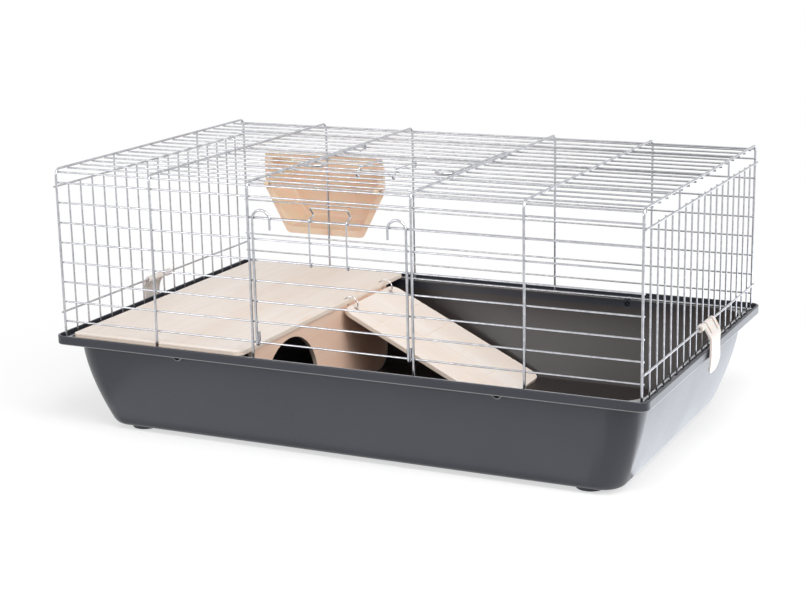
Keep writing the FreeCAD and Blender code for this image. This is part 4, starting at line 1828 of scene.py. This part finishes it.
@dataclass
class HouseWall(Board):
    """The plywood house wall with its arched doorway."""

    edge: float = 0.4
    low: Point = (-196.0, 7.6)
    high: Point = (172.0, 123.1)
    corner_front: float = 12.0
    corner_back: float = 26.0
    corner_top: float = 3.0
    corner_steps: int = 8
    arch_y: float = -103.0
    arch_z: float = 43.1
    arch_r: float = 72.0
    arch_steps: int = 36
    slot_half: float = 1.7
    slot_deep: float = 13.6

    def top_steps(self) -> list[Point]:
        """The corners of ring slots and tenons along the top edge, from the back to the front.

        Returns:
            The corners in depth and height.
        """
        edge_z = self.high[1]
        kinds = [(y, self.slot_half, edge_z - self.slot_deep) for y in self.ring_ys]
        kinds += [(y, self.tenon_half, self.shelf_z + self.ply) for y in self.tenon_ys]
        points: list[Point] = []
        for y, half, z in sorted(kinds, reverse=True):
            points += [(y + half, edge_z), (y + half, z), (y - half, z), (y - half, edge_z)]
        return points

    def outline(self) -> list[Point]:
        """The wall's outline in depth and height, with the doorway open at the floor.

        Returns:
            The outline's points.
        """
        (y0, z0), (y1, z1) = self.low, self.high
        arch = arc((self.arch_y, self.arch_z), self.arch_r, 180.0, 0.0, self.arch_steps)
        doorway = [(arch[0][0], z0), *arch, (arch[-1][0], z0)]
        corners = [(y0, z0), *doorway, (y1, z0), (y1, z1), *self.top_steps(), (y0, z1)]
        radii = {(y0, z0): self.corner_front, (y1, z0): self.corner_back}
        radii |= {(y1, z1): self.corner_top, (y0, z1): self.corner_top}
        per_corner = self.corner_steps + 1
        points: list[Point] = []
        for k, corner in enumerate(corners):
            if corner in radii:
                three = [corners[k - 1], corner, corners[(k + 1) % len(corners)]]
                bend = rounded(three, [0.0, radii[corner], 0.0], self.corner_steps)
                points += bend[per_corner:2 * per_corner]
            else:
                points.append(corner)
        return points

    def build(self) -> None:
        """Build and dress the wall."""
        mesh = plate([self.outline()], self.ply, self.edge)
        place = Matrix.Translation((self.house_x + self.ply / 2, 0, 0)) @ ACROSS
        piece = Piece("partition_board", Body.CAGE, Slot.PLY, ("partition",))
        # The wall's birch is darker and warmer: painted warm light and shade.
        self.dress(mesh, piece, place, 0, BIRCH_WARM_LIGHT_PAINTED)


@dataclass
class Ramp(Board):
    """The grooved ramp board and the two steel rings it hangs on."""

    length: float = 244.0
    width: float = 150.0
    start: float = 1.2
    sink: float = 0.8
    corner: float = 14.0
    floor_z: float = 7.8
    groove_pitch: float = 50.0
    groove_width: float = 1.6
    groove_depth: float = 0.9
    groove_over: float = 5.0
    groove_rise: float = 3.0
    ring_wire: float = 0.9
    ring_steps: int = 64
    ring_sides: int = 12

    @property
    def angle(self) -> float:
        """Slope that lets the low edge rest just above the tray floor.

        Returns:
            The slope in radians.
        """
        reach = self.start + self.length
        thick = self.sink + self.ply
        fall = self.hinge[2] - self.floor_z
        return math.asin(fall / math.hypot(reach, thick)) - math.atan2(thick, reach)

    def build(self) -> None:
        """Build and dress the ramp and its rings."""
        half = self.width / 2
        end = self.start + self.length
        corners = [(self.start, -half), (end, -half), (end, half), (self.start, half)]
        hole_x = math.sqrt(self.ring_r ** 2 - (self.sink + self.ply / 2) ** 2)
        holes = [self.hole(hole_x, side * self.ring_span) for side in (-1, 1)]
        mesh = plate([rounded(corners, [self.corner] * len(corners)), *holes], self.ply, self.edge)
        top = self.ply / 2
        wide = half + self.groove_over
        tools = []
        for k in range(1, round(self.length / self.groove_pitch)):
            x = self.start + k * self.groove_pitch
            low = (x - self.groove_width / 2, -wide, top - self.groove_depth)
            tools.append(box(low, (x + self.groove_width / 2, wide, top + self.groove_rise)))
        mesh = cut_away(mesh, tools)
        place = Matrix.Translation(self.hinge) @ Matrix.Rotation(self.angle, 4, "Y")
        place = place @ Matrix.Translation((0, 0, -self.sink - self.ply / 2))
        self.dress(mesh, Piece("ramp_board", Body.RAMP, Slot.PLY, ("ramp",)), place, 0)
        self.rings()

    def rings(self) -> None:
        """Build the two rings through shelf and ramp."""
        made = []
        last = self.ring_sides - 1
        section = arc((self.ring_r, 0.0), self.ring_wire, 0.0, 360.0 * last / self.ring_sides, last)
        for y in self.ring_ys:
            centre = Vector((self.hinge[0], y, self.hinge[2]))
            rings = []
            for k in range(self.ring_steps):
                turn = 2 * math.pi * k / self.ring_steps
                out = Vector((math.cos(turn), 0, math.sin(turn)))
                rings.append([to_frame(*(centre + out * far + Vector((0, off, 0)))) for far, off in section])
            made.append(shell(rings, True))
        mesh = joined(made)
        mesh.shade_smooth()
        piece = Piece("ramp_rings_chrome", Body.CAGE, Slot.RING, ("ramp_rings",))
        piece.place(mesh, CHROME.material())


@dataclass
class HayRack:
    """The plastic hay rack that hangs on a back wire."""

    x: float = -248.0
    top: float = 290.0
    cheek: float = 53.0
    taper: float = 64.0
    half_top: float = 95.0
    half_low: float = 61.0
    corner: float = 8.0
    flange: float = 9.0
    wall: float = 2.2
    front: float = 227.2
    depth: float = 45.0
    shrink: float = 11.0
    inner_round: float = 4.0
    outer_round: float = 5.0
    round_steps: int = 4
    mouth_in: float = 0.5
    mouth_deep: float = 0.6
    mouth_out: float = 0.3
    front_edge: float = 0.5
    back_edge: float = 0.4
    cut_over: float = 5.0
    cut_gap: float = 0.01
    hook_z: float = 244.4
    hook_inset: float = 6.0
    hook_width: float = 7.0
    hook_reach: float = 10.5
    hook_drop: float = 6.5
    hook_sink: float = 0.4
    hook_rounds: tuple[float, ...] = (0.6, 0.6, 0.5, 0.0, 0.0, 1.6)
    hook_edge: float = 0.35

    def ring(self, inset: float, y: float, radius: float) -> list[Vector]:
        """The six-sided outline at one depth, drawn in by an inset.

        Args:
            inset: How far it is drawn in.
            y: The depth.
            radius: Radius of its corners.

        Returns:
            Its points in millimetres.
        """
        knee = self.top - self.cheek
        wide = self.half_top - inset
        slim = self.half_low - inset * (1 - (self.half_top - self.half_low) / self.taper)
        low = knee - self.taper + inset
        high = self.top - inset
        corners = [(-slim, low), (slim, low), (wide, knee), (wide, high), (-wide, high), (-wide, knee)]
        return [Vector((self.x + u, y, z)) for u, z in rounded(corners, [radius] * len(corners))]

    def rims(self) -> list[list[Vector]]:
        """Rings from the inner back, over the flange, to the outer back.

        Returns:
            The rings in their order.
        """
        back = self.front + self.depth
        inner = back - self.wall
        skin = self.flange - self.wall
        inner_r = self.corner - self.wall

        def drawn(y: float) -> float:
            """How far the bin has drawn in at a depth."""
            return self.shrink * (y - self.front) / self.depth

        soft = self.inner_round
        bend = arc((soft, inner - soft), soft, 90.0, 180.0, self.round_steps)
        rings = [self.ring(self.flange + drawn(y) + x, y, inner_r) for x, y in bend]
        lips = [(self.flange + self.mouth_in, self.mouth_deep, inner_r),
                (self.flange - self.mouth_out, 0.0, inner_r),
                (self.front_edge, 0.0, self.corner), (0.0, self.front_edge, self.corner),
                (0.0, self.wall - self.back_edge, self.corner), (self.back_edge, self.wall, self.corner),
                (skin, self.wall, self.corner)]
        rings += [self.ring(inset, self.front + y, radius) for inset, y, radius in lips]
        soft = self.outer_round
        bend = arc((soft, back - soft), soft, 180.0, 90.0, self.round_steps)
        return rings + [self.ring(skin + drawn(y) + x, y, self.corner) for x, y in bend]

    def build(self) -> None:
        """Build and dress the rack."""
        mesh = shell(self.rims())
        mouth = self.half_top - self.flange - self.shrink - self.wall
        deep = self.flange + self.shrink + 2 * self.wall
        back = self.front + self.depth - self.wall
        low = (self.x - mouth, self.front + self.wall, self.top - deep)
        cut = box(low, (self.x + mouth, back - self.cut_gap, self.top + self.cut_over))
        mesh = cut_away(mesh, [cut])
        hooks = []
        tip = self.front - self.hook_reach
        root = self.front + self.hook_sink
        low_z = self.hook_z
        top_z = low_z + self.wall
        shape = [(tip, top_z - self.hook_drop), (tip + self.wall, top_z - self.hook_drop)]
        shape += [(tip + self.wall, low_z), (root, low_z), (root, top_z), (tip, top_z)]
        outline = rounded(shape, self.hook_rounds, self.round_steps)
        for side in (-1, 1):
            x = self.x + side * (self.half_top - self.hook_inset)
            hook = plate([outline], self.hook_width, self.hook_edge)
            hook.transform(Matrix.Translation((x, 0, 0)) @ ACROSS)
            hooks.append(hook)
        mesh = softened(joined([mesh, *hooks]))
        mesh.transform(Matrix.Translation((0, SHIFT_Y * MM, 0)) @ Matrix.Scale(MM, 4))
        piece = Piece("hay_rack_moulding", Body.HAY_RACK, Slot.RACK, ("hay_rack",))
        piece.place(mesh, RACK_PLASTIC.material())


@dataclass(frozen=True)
class Lamp:
    """A soft rectangular lamp: its place, its aim and its sides in metres, and its power in watts."""

    name: str
    at: Triple
    aim: Triple
    size: Point
    power: float

    def hang(self) -> bpy.types.Object:
        """Put the lamp into the scene.

        Returns:
            The lamp.
        """
        data = bpy.data.lights.new(self.name, "AREA")
        data.shape = "RECTANGLE"
        data.size, data.size_y = self.size
        data.energy = self.power
        lamp = scratch_object(self.name, data)
        lamp.location = self.at
        lamp.rotation_euler = (Vector(self.aim) - Vector(self.at)).to_track_quat("-Z", "Y").to_euler()
        lamp.visible_camera = False
        return lamp


@dataclass(frozen=True)
class Glow:
    """A bright patch of the floor that only shows in polished faces; a radiance of 1 is white."""

    name: str
    low: Point
    high: Point
    radiance: float
    lift: float = 0.004
    colour: Triple = (0.86, 0.92, 1.0)

    def lay(self) -> None:
        """Put the patch on the floor, facing up."""
        wide = self.high[0] - self.low[0]
        deep = self.high[1] - self.low[1]
        x = (self.low[0] + self.high[0]) / 2
        y = (self.low[1] + self.high[1]) / 2
        power = self.radiance * math.pi * wide * deep
        lamp = Lamp(self.name, (x, y, self.lift), (x, y, 1.0), (wide, deep), power).hang()
        lamp.rotation_euler = (math.pi, 0.0, 0.0)
        lamp.visible_diffuse = False
        lamp.data.color = self.colour


@dataclass
class Studio:
    """Floor, soft lights, white surround and the camera."""

    azimuth: float = 25.829
    elevation: float = 13.838
    roll: float = -1.127
    distance: float = 2.258498
    target: Triple = (-0.015501, -0.0171, 0.150976)
    focal_px: float = 1775.737
    width_px: float = 806.0
    sensor: float = 36.0
    ambient: float = 0.5
    floor_reach: float = 9.0
    floor_drop: float = 0.0003
    floor_colour: Colour = (0.45, 0.45, 0.455, 1.0)
    floor_glow: float = 0.6
    shadow_span: Point = (0.45, 0.85)
    lamps: tuple[Lamp, ...] = (
        Lamp("key", (0.75, -1.0, 1.6), (-0.1, 0.0, 0.15), (1.1, 0.8), 22.0),
        Lamp("side", (3.0, -0.55, 1.55), (0.0, 0.0, 0.12), (1.45, 1.27), 48.0),
        Lamp("fill", (-1.1, -2.0, 0.75), (0.1, 0.2, 0.1), (0.9, 0.7), 11.0))
    glows: tuple[Glow, ...] = (
        Glow("right_glow", (0.3, -0.15), (1.2, 1.2), 1.6),
        Glow("front_glow", (-0.36, -0.44), (0.30, -0.225), 0.5))

    def camera(self) -> None:
        """Set the camera at the photograph's angle."""
        data = bpy.data.cameras.new("camera")
        data.sensor_width = self.sensor
        data.lens = self.focal_px / self.width_px * self.sensor
        camera = scratch_object("camera", data)
        a, e, r = (math.radians(v) for v in (self.azimuth, self.elevation, self.roll))
        back = Vector((math.sin(a) * math.cos(e), -math.cos(a) * math.cos(e), math.sin(e)))
        right = Vector((0, 0, 1)).cross(back).normalized()
        up = back.cross(right)
        turned_right = right * math.cos(r) + up * math.sin(r)
        turned_up = up * math.cos(r) - right * math.sin(r)
        turn = Matrix((turned_right, turned_up, back)).transposed().to_4x4()
        camera.matrix_world = Matrix.Translation(Vector(self.target) + back * self.distance) @ turn
        bpy.context.scene.camera = camera

    def seen(self, graph: Graph) -> bpy.types.NodeSocket:
        """A mask for rays that look at the background directly, in metal or through clear plastic."""
        path = graph.add("ShaderNodeLightPath").outputs
        both = graph.math("MAXIMUM", path["Is Camera Ray"], path["Is Glossy Ray"])
        return graph.math("MAXIMUM", both, path["Is Transmission Ray"])

    def world(self) -> None:
        """White surround, softer as a light."""
        world = bpy.data.worlds.new("studio")
        world.use_nodes = True
        bpy.context.scene.world = world
        graph = Graph(world.node_tree)
        shade = world.node_tree.nodes["Background"]
        shade.inputs["Color"].default_value = WHITE
        lit = graph.stretch(self.seen(graph), 0.0, 1.0, to_low=self.ambient)
        graph.put(shade.inputs["Strength"], lit)

    def floor(self) -> None:
        """A pale floor that keeps the shadow and fades to white."""
        reach = self.floor_reach
        corners = ((-reach, -reach), (reach, -reach), (reach, reach), (-reach, reach))
        mesh = mesh_of([Vector((x, y, -self.floor_drop)) for x, y in corners], [[0, 1, 2, 3]])
        material = bpy.data.materials.new("floor_white")
        material.use_nodes = True
        graph = Graph(material.node_tree)
        graph.tree.nodes.clear()
        place = graph.add("ShaderNodeTexCoord").outputs["Object"]
        far = graph.add("ShaderNodeVectorMath", {0: place}, operation="LENGTH").outputs["Value"]
        share = graph.stretch(far, *self.shadow_span)
        lit = graph.add("ShaderNodeBsdfDiffuse", {"Color": self.floor_colour})
        glow = graph.add("ShaderNodeEmission", {"Color": WHITE, "Strength": self.floor_glow})
        near = graph.add("ShaderNodeAddShader", {0: lit.outputs[0], 1: glow.outputs[0]})
        white = graph.add("ShaderNodeEmission", {"Color": WHITE, "Strength": 1.0})
        mixed = graph.add("ShaderNodeMixShader", {0: share, 1: near.outputs[0], 2: white.outputs[0]})
        graph.add("ShaderNodeOutputMaterial", {"Surface": mixed.outputs[0]})
        mesh.materials.append(material)
        scratch_object("floor", mesh)

    def build(self) -> None:
        """Set up the whole studio."""
        bpy.context.scene.view_settings.view_transform = "Standard"
        self.camera()
        self.world()
        self.floor()
        for lamp in self.lamps:
            lamp.hang()
        for glow in self.glows:
            glow.lay()


def main() -> None:
    """Build the cage piece by piece, then the studio round it."""
    logging.basicConfig(level=logging.INFO, format="%(name)s: %(message)s")
    lattice = Lattice()
    shop = WireShop()
    Studio().build()
    Tray().build()
    WireTop(lattice, shop).build()
    for face in DoorFace:
        Door(lattice, shop, face).build()
    for side in Side:
        Clip(lattice, side).build()
    Shelf().build()
    HouseWall().build()
    Ramp().build()
    HayRack().build()


if __name__ == "__main__":
    main()
